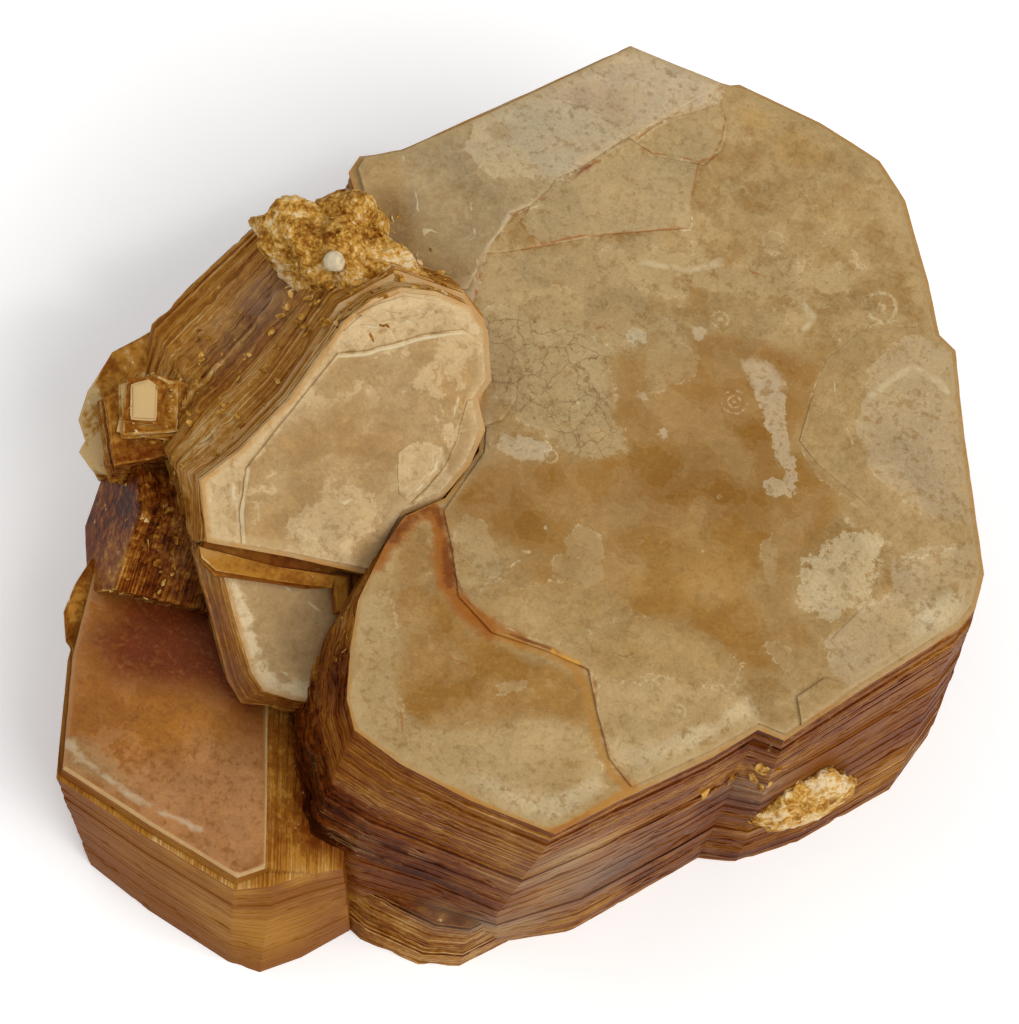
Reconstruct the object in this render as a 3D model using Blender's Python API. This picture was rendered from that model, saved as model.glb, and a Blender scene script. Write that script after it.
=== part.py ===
"""Phlogopite mica: a cluster of six-sided mica books grown through each other.

Each book is a stack of thin leaves. It is drawn by two outlines in its own plane, its head (the
cleavage face on top) and its foot, with small ledges down its sides, and all are joined in one
solid. +Z is the leaf normal of the two largest books, whose feet stand on z = 0.
The tables are in millimetres.
"""

import math
import random

import bmesh
import bpy
from mathutils import Matrix, Vector, noise

MM = 0.001

# Driving dimensions: heights above the surface that the cluster rests on.
MAIN_HEIGHT = 20.0
FRONT_HEIGHT = 10.0
REAR_HEIGHT = 12.0
BASE_HEIGHT = 5.0

# This point of the outlines' coordinates becomes x = y = 0, the middle of the cluster's box.
MIDDLE = (1.515, -0.175)

# How far a ledge stands in or out, and how far it falls, so that no two steps are coplanar.
LEDGE = 0.1
LEDGE_FALL = 0.05

# The main book's head and, corner by corner, its foot. Its left side runs beside the left book.
MAIN_HEAD = [
    (-14.8, 11.4), (-14.6, 12.5), (-12.7, 13.8), (-9.5, 17.6), (-3.4, 24.9), (2.2, 24.8),
    (2.9, 25.2), (7.7, 24.9), (11.5, 24.1), (13.6, 22.4), (16.4, 18.2), (17.9, 15.6),
    (19.0, 15.1), (20.9, 10.9), (24.6, 3.4), (24.8, 1.3), (24.4, 0.0), (20.6, -5.5),
    (17.8, -9.8), (16.3, -9.8), (14.6, -12.2), (10.9, -16.4), (8.4, -19.5), (3.7, -19.5),
    (-0.3, -19.1), (-3.2, -18.3), (-4.2, -16.9), (-5.0, -14.2), (-5.6, -11.5), (-5.4, -8.0),
    (-5.0, -6.0), (-3.4, -4.2), (-2.7, -1.0), (-3.6, 2.0), (-8.0, 5.4), (-12.6, 8.4),
]
MAIN_FOOT = [
    (-13.6, 11.6), (-13.4, 12.6), (-12.0, 13.6), (-9.3, 17.4), (-3.8, 24.2), (1.8, 24.2),
    (3.2, 24.6), (7.7, 24.6), (11.4, 23.6), (13.4, 22.2), (16.6, 18.2), (18.6, 15.6),
    (19.8, 15.0), (22.2, 11.6), (26.4, 5.4), (26.3, 1.9), (25.4, -1.7), (21.6, -6.7),
    (18.8, -9.2), (16.8, -9.8), (15.0, -12.2), (11.7, -16.6), (8.2, -18.8), (4.6, -20.2),
    (1.8, -20.6), (-0.6, -20.4), (-8.4, -17.4), (-9.0, -14.2), (-9.0, -11.5), (-8.6, -8.0),
    (-7.6, -6.0), (-6.4, -4.2), (-6.0, -1.0), (-7.0, 2.0), (-9.8, 5.6), (-12.4, 8.6),
]

# The lowest leaves of the main book stand out at its front corner.
BASE_HEAD = [
    (-1.4, -19.9), (1.0, -20.6), (4.6, -20.9), (6.4, -20.4), (8.6, -17.6), (4.0, -12.0), (-4.0, -14.0),
]
BASE_FOOT = [
    (-1.0, -20.6), (1.2, -21.5), (4.6, -21.6), (6.7, -20.8), (9.0, -18.0), (4.0, -12.0), (-4.0, -14.0),
]

# Thin plates left standing on the main head: outline and height above the head.
PLATES = {
    "centre_plate": (0.22, [
        (3.2, 24.9), (7.7, 24.6), (11.3, 23.8), (13.3, 22.2), (16.1, 18.0), (17.7, 15.4),
        (18.8, 14.9), (20.6, 10.8), (24.3, 3.3), (24.5, 1.4), (24.1, 0.1), (20.4, -5.3),
        (17.7, -9.5), (16.2, -9.5), (14.4, -11.9), (11.2, -15.5), (8.5, -12.9), (7.3, -10.7),
        (6.1, -10.0), (3.4, -9.6), (0.5, -9.4), (-1.7, -7.3), (-3.0, -4.9), (-2.4, -1.0),
        (-3.3, 2.2), (-8.0, 8.0), (-8.0, 15.0), (-4.0, 22.0), (0.0, 24.5),
    ]),
    "upper_plate": (0.5, [
        (1.9, 24.6), (-3.3, 24.6), (-9.4, 17.2), (-12.6, 13.5), (-14.3, 12.3), (-14.4, 11.6),
        (-12.4, 8.8), (-8.4, 6.2), (-6.5, 7.4), (-6.4, 9.9), (-5.7, 12.7), (-5.1, 13.4),
        (-4.6, 15.2), (-2.5, 17.4), (-0.9, 19.5), (1.4, 22.8),
    ]),
    "corner_plate": (0.45, [(17.9, -6.9), (18.9, -5.8), (20.0, -5.7), (19.5, -6.7), (18.1, -8.7)]),
}

# The front book, parallel to the main one. Its upper leaves end short on its right.
FRONT_HEAD = [
    (-16.8, -22.6), (-11.4, -23.7), (-6.1, -24.6), (-4.9, -23.5), (-6.2, -19.9), (-8.2, -14.6),
    (-9.0, -6.5), (-16.0, -6.4), (-19.5, -11.0), (-18.7, -16.4),
]
FRONT_STEP_HEAD = [
    (-17.0, -22.8), (-11.4, -24.0), (-6.0, -24.9), (-4.2, -23.9), (-2.8, -22.6), (-1.1, -21.5),
    (-2.2, -18.0), (-3.6, -12.0), (-8.0, -6.0), (-16.0, -6.0), (-19.8, -11.0), (-18.9, -16.4),
]
FRONT_STEP_FOOT = [
    (-13.9, -23.4), (-10.0, -24.6), (-5.0, -25.6), (-3.2, -25.5), (-1.4, -23.8), (0.5, -21.3),
    (-0.6, -18.0), (-2.0, -12.0), (-6.0, -6.0), (-14.0, -5.0), (-17.0, -11.0), (-16.4, -17.4),
]
FRONT_STEP_DROP = 1.0

# The left book leans to the front right. Its upper leaves end in a break, below which a lower
# step of the same book shows.
LEFT_ORIGIN = (-9.5, -4.6, 21.5)
LEFT_LEAN, LEFT_TOWARD = 34.3, -59.0
LEFT_DEPTH = 12.0
LEFT_STEP = 1.9
LEFT_HEAD = [
    (-6.0, -4.5), (-4.2, -7.3), (0.2, -6.2), (4.6, -5.3), (4.8, -1.6), (6.2, -0.2), (6.8, 2.2),
    (6.7, 4.2), (5.6, 5.5), (5.8, 6.7), (4.4, 9.0), (2.9, 9.8), (0.9, 9.7), (-0.9, 9.1),
    (-2.0, 7.9), (-2.8, 6.3), (-3.6, 1.3), (-4.8, -2.2),
]
LEFT_BREAK = [
    (-6.0, -4.5), (-4.5, -8.2), (0.1, -7.0), (4.7, -6.2), (5.0, -1.6), (6.2, -0.2), (6.8, 2.2),
    (6.7, 4.2), (5.6, 5.5), (5.8, 6.7), (4.4, 9.0), (2.9, 9.8), (0.9, 9.7), (-0.9, 9.1),
    (-2.0, 7.9), (-2.8, 6.3), (-3.6, 1.3), (-4.8, -2.2),
]
LEFT_STEP_HEAD = [
    (-6.2, -4.6), (-4.2, -7.5), (-3.2, -8.5), (-1.3, -10.6), (1.2, -13.5), (2.4, -14.2),
    (4.9, -13.5), (7.6, -12.7), (6.4, -9.1), (5.6, -5.6), (6.2, -2.0), (7.0, 2.2), (6.1, 6.7),
    (4.6, 9.3), (2.9, 10.1), (-0.9, 9.7), (-3.0, 6.8), (-3.8, 1.3), (-5.0, -2.2),
]
LEFT_STEP_FOOT = [
    (-8.0, -3.8), (-4.8, -6.8), (-3.2, -8.2), (-1.2, -10.3), (1.4, -13.2), (3.0, -14.0),
    (5.4, -13.2), (7.6, -12.2), (6.8, -9.0), (6.2, -5.6), (6.6, -2.0), (7.2, 2.2), (6.6, 7.2),
    (4.8, 10.0), (2.8, 10.8), (-1.6, 10.6), (-6.0, 9.2), (-8.0, 4.2), (-9.2, 0.8),
]

# The middle of the joint, where the left book and the main one have grown into each other,
# in the left book's own plane: the outlines and depths of its two ends.
JOINT_HEAD = [(2.0, -7.0), (9.0, -6.6), (9.2, 5.6), (2.0, 7.6)]
JOINT_FOOT = [(-2.0, -7.0), (13.0, -6.6), (13.0, 6.4), (-2.0, 8.0)]
JOINT_TOP, JOINT_BOTTOM = 3.0, 13.0

# Small books round the left end: origin, lean, direction of lean, depth, how much the foot
# grows over the head, and the head's outline.
SMALL_BOOKS = {
    "end_step": ((-20.4, -4.6, 17.5), 16.3, -109.1, 3.4, 1.5, [
        (-1.6, -0.2), (-1.4, 0.8), (0.1, 1.6), (1.4, 1.2), (2.2, -0.8), (1.3, -1.7), (-0.8, -1.6),
    ]),
    "end_book": ((-21.9, -3.7, 13.0), 19.2, -144.8, 6.5, 0.96, [
        (0.6, 4.9), (-1.1, 3.1), (-1.6, 0.6), (-1.5, -1.0), (-0.7, -2.0), (-0.8, -2.7),
        (0.2, -3.4), (3.0, -3.4), (8.0, -1.0), (6.0, 5.0),
    ]),
    "flank_book": ((-19.5, -9.2, 12.0), 72.0, -160.0, 7.0, 1.1, [
        (4.1, 0.5), (1.7, 3.7), (-2.0, 3.4), (-3.8, -0.3), (-1.8, -3.9), (2.2, -3.7),
    ]),
    "knob": ((-18.8, -13.4, 9.5), 13.7, -125.5, 6.0, 1.05, [
        (-0.2, 3.7), (-1.0, 2.6), (-1.3, 1.0), (-1.3, -0.6), (-0.6, -2.0), (0.4, -2.6),
        (1.8, -1.9), (2.2, 2.6),
    ]),
}

# The rear book stands under the left one and behind it.
REAR_RADIUS = 7.4
REAR_CENTRE = (-12.4, 2.0)
REAR_SPREAD = 1.08

# Rough broken lumps: centre, half-widths and a turn about +Z in degrees, and a seed.
LUMPS = {
    "broken_ridge": ((-12.4, 5.4, 21.6), (5.6, 2.3, 3.1), -9.0, 3),
    "grain_crust": ((20.2, -7.0, 8.0), (2.5, 0.9, 2.1), 40.0, 7),
}
LUMP_SWELL = 0.3
LUMP_NOISE_SCALE = 0.55


def clear_scene():
    """Takes away whatever the file opened with."""
    for item in list(bpy.data.objects):
        bpy.data.objects.remove(item, do_unlink=True)


def book_frame(origin, lean, toward):
    """The place of a book whose leaf normal leans from +Z by an angle, towards a compass direction."""
    turn = Matrix.Rotation(math.radians(toward), 4, "Z")
    tip = Matrix.Rotation(math.radians(lean), 4, "Y")
    return Matrix.Translation(Vector(origin)) @ turn @ tip @ turn.inverted()


def is_clockwise(outline):
    """True where the outline runs clockwise seen from above."""
    turns = zip(outline, outline[1:] + outline[:1])
    return sum(a[0] * b[1] - b[0] * a[1] for a, b in turns) < 0


def moved_out(outline, distances):
    """The outline with each corner moved outward by its own distance."""
    moved = []
    for i, corner in enumerate(outline):
        along = (outline[(i + 1) % len(outline)] - outline[i - 1]).normalized()
        moved.append(corner + Vector((along.y, -along.x)) * distances[i])
    return moved


def scaled(outline, factor):
    """The outline grown about its own middle."""
    middle = sum((Vector(p) for p in outline), Vector((0, 0))) / len(outline)
    return [tuple(middle + (Vector(p) - middle) * factor) for p in outline]


def hexagon(centre, radius, squash=0.94, turn=20.0):
    """A nearly regular six-sided outline."""
    angles = [math.radians(turn + 60 * i) for i in range(6)]
    return [(centre[0] + radius * math.cos(a), centre[1] + radius * squash * math.sin(a))
            for a in angles]


def finish_solid(name, build, material, place=Matrix.Identity(4), guide=True):
    """Turns the working mesh into an object in metres, about the cluster's middle.

    A guide is one of the solids that the join reads, and isn't part of the result itself.
    """
    shift = Matrix.Translation((-MIDDLE[0], -MIDDLE[1], 0.0))
    bmesh.ops.transform(build, matrix=Matrix.Scale(MM, 4) @ shift @ place, verts=build.verts)
    bmesh.ops.recalc_face_normals(build, faces=build.faces)
    solid = bpy.data.meshes.new(name)
    build.to_mesh(solid)
    build.free()
    solid.materials.append(material)
    item = bpy.data.objects.new(name, solid)
    bpy.context.scene.collection.objects.link(item)
    if guide:
        item.hide_render = True
        item.display_type = "WIRE"
    return item


def book(name, place, head, foot, top, bottom, steps, seed, material, guide=True):
    """A closed stack of leaves from its head at height top to its foot at height bottom.

    The sides are cut in steps of uneven thickness, each a little in or out of the last.
    """
    if is_clockwise(head):
        head, foot = head[::-1], foot[::-1]
    chance = random.Random(seed)
    cuts = [(i + chance.uniform(-0.3, 0.3)) / steps for i in range(1, steps)]
    build = bmesh.new()
    rings = []
    for step, (above, below) in enumerate(zip([0.0] + cuts, cuts + [1.0])):
        side = (0.0 if step == 0 else LEDGE) * (1 if step % 2 else -1)
        shifts = [side * chance.uniform(0.3, 1.5) for _ in head]
        for cut, fall in ((above, -LEDGE_FALL), (below, LEDGE_FALL)):
            height = top + (bottom - top) * cut + (fall / 2 if 0.0 < cut < 1.0 else 0.0)
            outline = [Vector(a).lerp(Vector(b), cut) for a, b in zip(head, foot)]
            ring = moved_out(outline, shifts)
            rings.append([build.verts.new((p.x, p.y, height)) for p in ring])
    for upper, lower in zip(rings, rings[1:]):
        for i in range(len(head)):
            build.faces.new((upper[i - 1], lower[i - 1], lower[i], upper[i]))
    build.faces.new(rings[0])
    build.faces.new(rings[-1][::-1])
    return finish_solid(name, build, material, place, guide)


def lump(name, centre, half_widths, turn, seed, material):
    """A rough broken piece: a ball of flat faces, drawn out and pushed in and out by noise."""
    build = bmesh.new()
    bmesh.ops.create_icosphere(build, subdivisions=3, radius=1.0)
    for vert in build.verts:
        stretched = Vector(a * b for a, b in zip(vert.co, half_widths))
        swell = noise.noise(stretched * LUMP_NOISE_SCALE + Vector((seed, seed, seed)))
        vert.co = stretched * (1.0 + LUMP_SWELL * swell)
    place = Matrix.Translation(centre) @ Matrix.Rotation(math.radians(turn), 4, "Z")
    return finish_solid(name, build, material, place)


def mica_material():
    """Honey-brown mica, glossy on its leaves."""
    material = bpy.data.materials.new("mica")
    material.use_nodes = True
    shader = material.node_tree.nodes["Principled BSDF"]
    shader.inputs["Base Color"].default_value = (0.45, 0.29, 0.13, 1)
    shader.inputs["Roughness"].default_value = 0.35
    shader.inputs["Metallic"].default_value = 0.0
    return material


def upright_books(material):
    """The books that stand beside the main one, and what stands on its head and at its foot."""
    flat = Matrix.Identity(4)
    book("base_leaves", flat, BASE_HEAD, BASE_FOOT, BASE_HEIGHT, 0.0, 5, 12, material)
    book("front_upper", flat, FRONT_HEAD, FRONT_HEAD, FRONT_HEIGHT,
         FRONT_HEIGHT - 2 * FRONT_STEP_DROP, 3, 13, material)
    book("front_lower", flat, FRONT_STEP_HEAD, FRONT_STEP_FOOT, FRONT_HEIGHT - FRONT_STEP_DROP,
         0.0, 8, 14, material)
    rear = hexagon(REAR_CENTRE, REAR_RADIUS)
    book("rear_book", flat, rear, scaled(rear, REAR_SPREAD), REAR_HEIGHT, 0.0, 8, 15, material)
    for name, (rise, outline) in PLATES.items():
        book(name, flat, outline, outline, MAIN_HEIGHT + rise, MAIN_HEIGHT - 1.0, 1, 16, material)


def leaning_books(material):
    """The left book, its broken upper leaves, and the small books round its end."""
    place = book_frame(LEFT_ORIGIN, LEFT_LEAN, LEFT_TOWARD)
    book("left_upper", place, LEFT_HEAD, LEFT_BREAK, 0.0, -LEFT_STEP - 0.4, 1, 21, material)
    book("left_lower", place, LEFT_STEP_HEAD, LEFT_STEP_FOOT, -LEFT_STEP, -LEFT_DEPTH, 9, 22,
         material)
    book("joint", place, JOINT_HEAD, JOINT_FOOT, -JOINT_TOP, -JOINT_BOTTOM, 1, 20, material)
    for seed, (name, form) in enumerate(SMALL_BOOKS.items(), 23):
        origin, lean, toward, depth, spread, head = form
        book(name, book_frame(origin, lean, toward), head, scaled(head, spread), 0.0, -depth, 5,
             seed, material)


def build_cluster():
    """Every book and lump, joined in one solid."""
    material = mica_material()
    cluster = book("mica_cluster", Matrix.Identity(4), MAIN_HEAD, MAIN_FOOT, MAIN_HEIGHT, 0.0, 16,
                   11, material, guide=False)
    upright_books(material)
    leaning_books(material)
    for name, form in LUMPS.items():
        lump(name, *form, material)
    for guide in [item for item in bpy.data.objects if item.hide_render]:
        join = cluster.modifiers.new(f"join {guide.name}", "BOOLEAN")
        join.operation = "UNION"
        join.solver = "EXACT"
        join.object = guide


clear_scene()
build_cluster()
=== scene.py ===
"""Phlogopite mica: the leaves, faces and stage of a cluster of grown-together mica books.

Each book is a stack of thin leaves under a cleavage face, its head. Tables are in millimetres, in
the drawing's coordinates, where +Z is the leaf normal of the largest book and its foot is z = 0.
A leaning book's tables are in its own plane, with +Z along its leaf normal.
"""

import math
from functools import reduce

import bpy
import numpy as np
from mathutils import Matrix, Vector, geometry, noise


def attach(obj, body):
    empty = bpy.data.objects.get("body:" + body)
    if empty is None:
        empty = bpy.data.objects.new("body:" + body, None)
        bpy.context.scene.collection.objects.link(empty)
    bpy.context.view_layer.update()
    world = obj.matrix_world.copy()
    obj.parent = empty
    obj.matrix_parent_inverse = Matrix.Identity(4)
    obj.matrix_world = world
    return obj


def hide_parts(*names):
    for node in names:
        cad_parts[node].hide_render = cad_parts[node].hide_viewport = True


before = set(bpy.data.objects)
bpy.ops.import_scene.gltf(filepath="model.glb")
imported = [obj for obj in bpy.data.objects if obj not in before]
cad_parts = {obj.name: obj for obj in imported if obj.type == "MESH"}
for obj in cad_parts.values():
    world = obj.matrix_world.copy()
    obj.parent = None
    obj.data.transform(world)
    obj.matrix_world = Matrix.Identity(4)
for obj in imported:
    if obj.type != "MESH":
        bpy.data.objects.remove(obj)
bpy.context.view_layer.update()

bl_info = {
    "name": "Phlogopite mica cluster",
    "version": (1, 0, 0),
    "blender": (4, 5, 0),
    "location": "View3D > Sidebar > Mica",
    "description": "Builds a cluster of mica books leaf by leaf, and its stage",
    "category": "Add Mesh",
}

CAD_NODE = "mica_cluster"
BODY = "root"
MM = 0.001


def tenths(*numbers, each=2):
    """Corners as (x, y), or other groups of values, from whole tenths."""
    return [tuple(number / 10 for number in numbers[start:start + each])
            for start in range(0, len(numbers), each)]


# The point of the drawing that is the frame's origin.
MIDDLE = (1.515, -0.175, 0.0)

MAIN_TOP = 20.0
FRONT_TOP = 10.0
FRONT_DROP = 1.0
BASE_TOP = 5.0
REAR_TOP = 12.0

# The main book: its head, and the foot corner by corner.
MAIN_HEAD = tenths(
    -148, 114, -146, 125, -127, 138, -95, 176, -34, 249, 22, 248, 29, 252, 77, 249, 115, 241,
    136, 224, 164, 182, 179, 156, 190, 151, 209, 109, 246, 34, 248, 13, 244, 0, 206, -55, 178, -98,
    163, -98, 146, -122, 109, -164, 84, -195, 37, -195, -3, -191, -32, -183, -42, -169, -50, -142,
    -56, -115, -54, -80, -50, -60, -34, -42, -27, -10, -36, 20, -80, 54, -126, 84)
MAIN_FOOT = tenths(
    -136, 116, -134, 126, -120, 136, -93, 174, -38, 242, 18, 242, 32, 246, 77, 246, 114, 236,
    134, 222, 166, 182, 186, 156, 198, 150, 222, 116, 264, 54, 263, 19, 254, -17, 216, -67,
    188, -92, 168, -98, 150, -122, 117, -166, 82, -188, 46, -202, 18, -206, -6, -204, -84, -174,
    -90, -142, -90, -115, -86, -80, -76, -60, -64, -42, -60, -10, -70, 20, -98, 56, -124, 86)
# Its widest level at the front corner, where the wall's lower edge is.
MAIN_WAIST_HEIGHT = 8.0
MAIN_WAIST = tenths(
    -141, 115, -139, 126, -123, 137, -94, 175, -36, 245, 20, 244, 31, 248, 77, 247, 114, 238,
    135, 223, 165, 182, 183, 156, 195, 150, 217, 113, 257, 46, 257, 17, 250, -10, 212, -62,
    184, -94, 166, -98, 148, -122, 112, -166, 74, -203, 30, -203, -9, -207, -34, -206, -59, -173,
    -74, -142, -76, -115, -73, -80, -66, -60, -52, -42, -47, -10, -56, 20, -91, 55, -125, 85)
BASE_HEAD = tenths(-14, -199, 10, -206, 46, -209, 64, -204, 86, -176, 40, -120, -40, -140)
BASE_FOOT = tenths(-10, -206, 12, -215, 46, -216, 67, -208, 90, -180, 40, -120, -40, -140)

MAIN_LEVELS = [(MAIN_TOP, MAIN_HEAD), (MAIN_WAIST_HEIGHT, MAIN_WAIST), (0.0, MAIN_FOOT)]

# Thin plates left standing on the main head: height above the head, and outline.
HEAD_PLATES = {
    "centre_plate": (0.22, tenths(
        32, 249, 77, 246, 113, 238, 133, 222, 161, 180, 177, 154, 188, 149, 206, 108, 243, 33,
        245, 14, 241, 1, 204, -53, 177, -95, 162, -95, 144, -119, 112, -155, 96, -145, 80, -121,
        69, -103, 45, -102, 15, -104, -8, -92, -20, -69, -32, -50, -24, -10, -33, 22, -80, 80,
        -80, 150, -40, 220, 0, 245)),
    "second_plate": (0.32, tenths(
        -66, 116, -53, 123, -49, 152, -33, 174, -14, 196, 26, 196, 28, 173, 33, 158, -7, 136,
        -39, 113, -56, 102, -68, 96)),
    "flap": (0.42, tenths(
        -19, 195, -1, 219, 20, 246, 23, 234, 31, 223, 33, 209, 27, 196, 18, 194, 2, 190)),
    "upper_plate": (0.5, tenths(
        19, 246, -33, 246, -94, 172, -126, 135, -143, 123, -144, 116, -124, 88, -84, 62, -65, 74,
        -64, 99, -57, 127, -51, 134, -46, 146, -44, 155, -34, 166, -19, 191, -2, 212, 17, 228)),
    "sub_leaf": (0.5, tenths(
        -46, 2, -46, 16, -36, 28, -22, 32, -19, 24, -22, 10, -31, 2, -42, -4)),
    "corner_plate": (0.45, tenths(176, -74, 186, -58, 200, -57, 195, -69, 183, -87)),
    "right_plate": (0.29, tenths(
        129, 65, 127, 90, 127, 115, 139, 140, 166, 154, 186, 146, 203, 107, 239, 32, 241, 13,
        237, 1, 202, -50, 182, -36, 193, -8, 194, 10, 190, 33, 172, 46, 143, 56)),
}

# The front book. Its upper leaves end short on its right.
FRONT_HEAD = tenths(
    -168, -226, -114, -237, -61, -246, -49, -235, -62, -199, -82, -146, -90, -65, -160, -64,
    -195, -110, -187, -164)
# How many thin leaves step down from there to the lower leaves, and the right edges they run
# between.
FRONT_TERRACES = 7
FRONT_RIGHT = tenths(-49, -235, -62, -199, -82, -146, -90, -65)
FRONT_STEP_RIGHT = tenths(-19, -222, -30, -184, -44, -126, -80, -62)
TERRACE_WIDTH = (2.0, 0.4)
FRONT_STRIP = ((-5.0, -19.0, 9.5), 90.0, 20.0)
FRONT_STEP_HEAD = tenths(
    -170, -228, -114, -240, -60, -249, -42, -239, -28, -226, -11, -215, -22, -180, -36, -120,
    -80, -60, -160, -60, -198, -110, -189, -164)
FRONT_STEP_FOOT = tenths(
    -139, -234, -100, -246, -50, -256, -32, -255, -14, -238, 5, -213, -6, -180, -20, -120,
    -60, -60, -140, -50, -170, -110, -164, -174)

# The left book leans to the front right. Below the break of its upper leaves a lower step shows.
LEFT_ORIGIN = (-9.5, -4.6, 21.5)
LEFT_LEAN, LEFT_TOWARD = 34.3, -59.0
LEFT_DEPTH = 12.0
LEFT_STEP = 2.0
# How deep the thin plates and strips are rooted in the leaves below them.
PLATE_ROOT, LEFT_ROOT, STRIP_ROOT = 0.8, 0.4, 0.6
LEFT_HEAD = tenths(
    -60, -45, -42, -73, 2, -62, 46, -53, 48, -16, 62, -2, 68, 22, 67, 42, 56, 55, 58, 67, 44, 90,
    29, 98, 9, 97, -9, 91, -20, 79, -28, 63, -36, 13, -48, -22)
LEFT_BREAK = tenths(-60, -45, -44, -78, 2, -67, 48, -59, 50, -16) + LEFT_HEAD[5:]
# The step below the break: its face, and the level its leaves fan out to beneath the face.
LEFT_STEP_HEAD = tenths(
    -62, -46, -36, -73, -23, -85, -4, -107, 17, -129, 27, -135, 44, -133, 71, -125, 62, -94,
    56, -56, 62, -20, 70, 22, 61, 67, 46, 93, 29, 101, -9, 97, -30, 68, -38, 13, -50, -22)
LEFT_FAN = tenths(
    -64, -47, -43, -77, -36, -86, -13, -112, 11, -140, 22, -147, 46, -141, 77, -132, 64, -91,
    56, -56, 62, -20, 70, 22, 62, 68, 46, 94, 29, 102, -10, 98, -31, 69, -40, 14, -52, -21)
LEFT_FAN_DROP = 1.1
LEFT_STEP_FOOT = tenths(
    -80, -38, -48, -68, -32, -82, -12, -103, 14, -132, 30, -140, 54, -132, 76, -122, 68, -90,
    62, -56, 66, -20, 72, 22, 66, 72, 48, 100, 28, 108, -16, 106, -60, 92, -80, 42, -92, 8)
# Strips and blocks of leaves in the break: height below the head, and outline.
LEFT_STRIPS = {
    "break_strip": (1.0, tenths(
        -42, -78, -38, -83, -28, -86, -1, -79, 20, -73, 33, -69, 32, -62, 0, -71)),
    "break_lower_strip": (1.35, tenths(
        -40, -74, -38, -85, -27, -89, 0, -81, 22, -75, 34, -69, 32, -54)),
    "break_block": (1.2, tenths(30, -62, 39, -60, 48, -76, 41, -81)),
    "break_block_right": (1.5, tenths(40, -58, 49, -56, 58, -71, 50, -77)),
}
# Thin curved leaves on the left head: height above it, and outline.
LEFT_PLATES = {
    "left_leaf_wide": (0.22, tenths(
        -41, -29, -34, -51, -25, -66, 2, -59, 43, -50, 45, -15, 59, 1, 64, 23, 63, 40, 52, 54,
        54, 66, 44, 83, 31, 85, 24, 81, 12, 73, 1, 63, -5, 59, -10, 54, -17, 50, -24, 46, -31, 16,
        -36, -6)),
    "left_wave_low": (0.16, tenths(
        -26, 59, -20, 65, -11, 68, -4, 74, 5, 79, 14, 87, 26, 94, 10, 95, -8, 89, -18, 78)),
    "left_wave_high": (0.3, tenths(
        -24, 69, -17, 71, -11, 77, -2, 80, 6, 86, 12, 93, -6, 88, -17, 78)),
    "left_leaf_right": (0.34, tenths(
        47, -10, 52, 4, 55, 16, 54, 32, 50, 52, 52, 54, 63, 40, 64, 23, 59, 3)),
    "left_round_leaf": (0.32, tenths(
        29, 13, 35, 22, 44, 25, 50, 14, 47, 1, 44, -8, 39, -7, 33, 3)),
}

# The squarish steps at the left end, lowest first: height, place, half-width, half-length, turn.
END_STEP_PLACE = ((-20.0, -4.4, 17.2), 12.0, -100.0)
END_STEPS = [
    (-0.9, (0.5, -0.4), 2.5, 2.1, 34.0), (-0.55, (0.7, 0.2), 2.1, 1.6, 14.0),
    (-0.2, (0.2, 0.1), 1.6, 1.5, 28.0), (0.15, (-0.1, 0.2), 1.15, 1.25, 17.0),
    (0.45, (-0.15, 0.1), 0.62, 0.95, 24.0),
]
END_STEP_CORNERS = [(-1, -1), (0.8, -1.1), (1, 0.7), (0.4, 1), (-0.9, 0.8)]
END_STEP_DEPTH, END_STEP_SPREAD = 3.0, 1.15

# Small books round the left end: origin, lean, its direction, depth, spread of the foot,
# lightness and outline.
SMALL_BOOKS = {
    "end_book": ((-21.9, -3.7, 13.0), 19.2, -144.8, 6.5, 0.96, 0.82, tenths(
        6, 49, -11, 31, -16, 6, -15, -10, -7, -20, -8, -27, 2, -34, 30, -34, 80, -10, 60, 50)),
    "flank_book": ((-19.5, -9.2, 12.0), 72.0, -160.0, 7.0, 1.1, 0.5, tenths(
        41, 5, 17, 37, -20, 34, -38, -3, -18, -39, 22, -37)),
    "knob": ((-18.8, -13.4, 9.5), 13.7, -125.5, 6.0, 1.05, 0.5, tenths(
        -2, 37, -10, 26, -13, 10, -13, -6, -6, -20, 4, -26, 18, -19, 22, 26)),
}
# The rear book, nearly a regular hexagon.
REAR_CENTRE, REAR_RADIUS, REAR_SPREAD = (-12.4, 2.0), 7.4, 1.08
REAR_SQUASH, REAR_TURN = 0.94, 20.0

# Rough broken lumps: centre, half-widths, a turn about +Z in degrees, a seed, the size of their
# crumbs against the Crumb setting, and how finely they are subdivided.
LUMPS = {
    "broken_ridge": ((-12.4, 5.4, 21.6), (5.6, 2.3, 3.1), -9.0, 3, 0.8, 6),
    "ridge_shoulder": ((-13.7, 7.5, 21.4), (2.1, 1.7, 3.2), 24.0, 5, 0.6, 5),
    "grain_crust": ((20.4, -7.3, 7.4), (2.9, 1.0, 3.3), 40.0, 7, 0.9, 5),
    "bead": ((-13.5, 4.2, 24.2), (0.62, 0.56, 0.5), 10.0, 9, 0.3, 4),
    "white_chip": ((-8.3, 5.9, 20.7), (0.72, 0.3, 0.25), -8.0, 4, 0.3, 4),
}
LUMP_SWELL = 0.3
LUMP_NOISE_SCALE = 0.55
# The cells and ridges of their crumbs: strength, scale, and the noise's own middle.
CRUMB_CELLS, CRUMB_RIDGES = (0.75, 2.4, 0.35), (0.45, 1.1, 1.2)
# Fall-off, lacunarity, octaves, offset and gain of the ridged noise.
RIDGE_FORM = (1.0, 2.1, 4, 0.9, 2.0)

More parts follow.
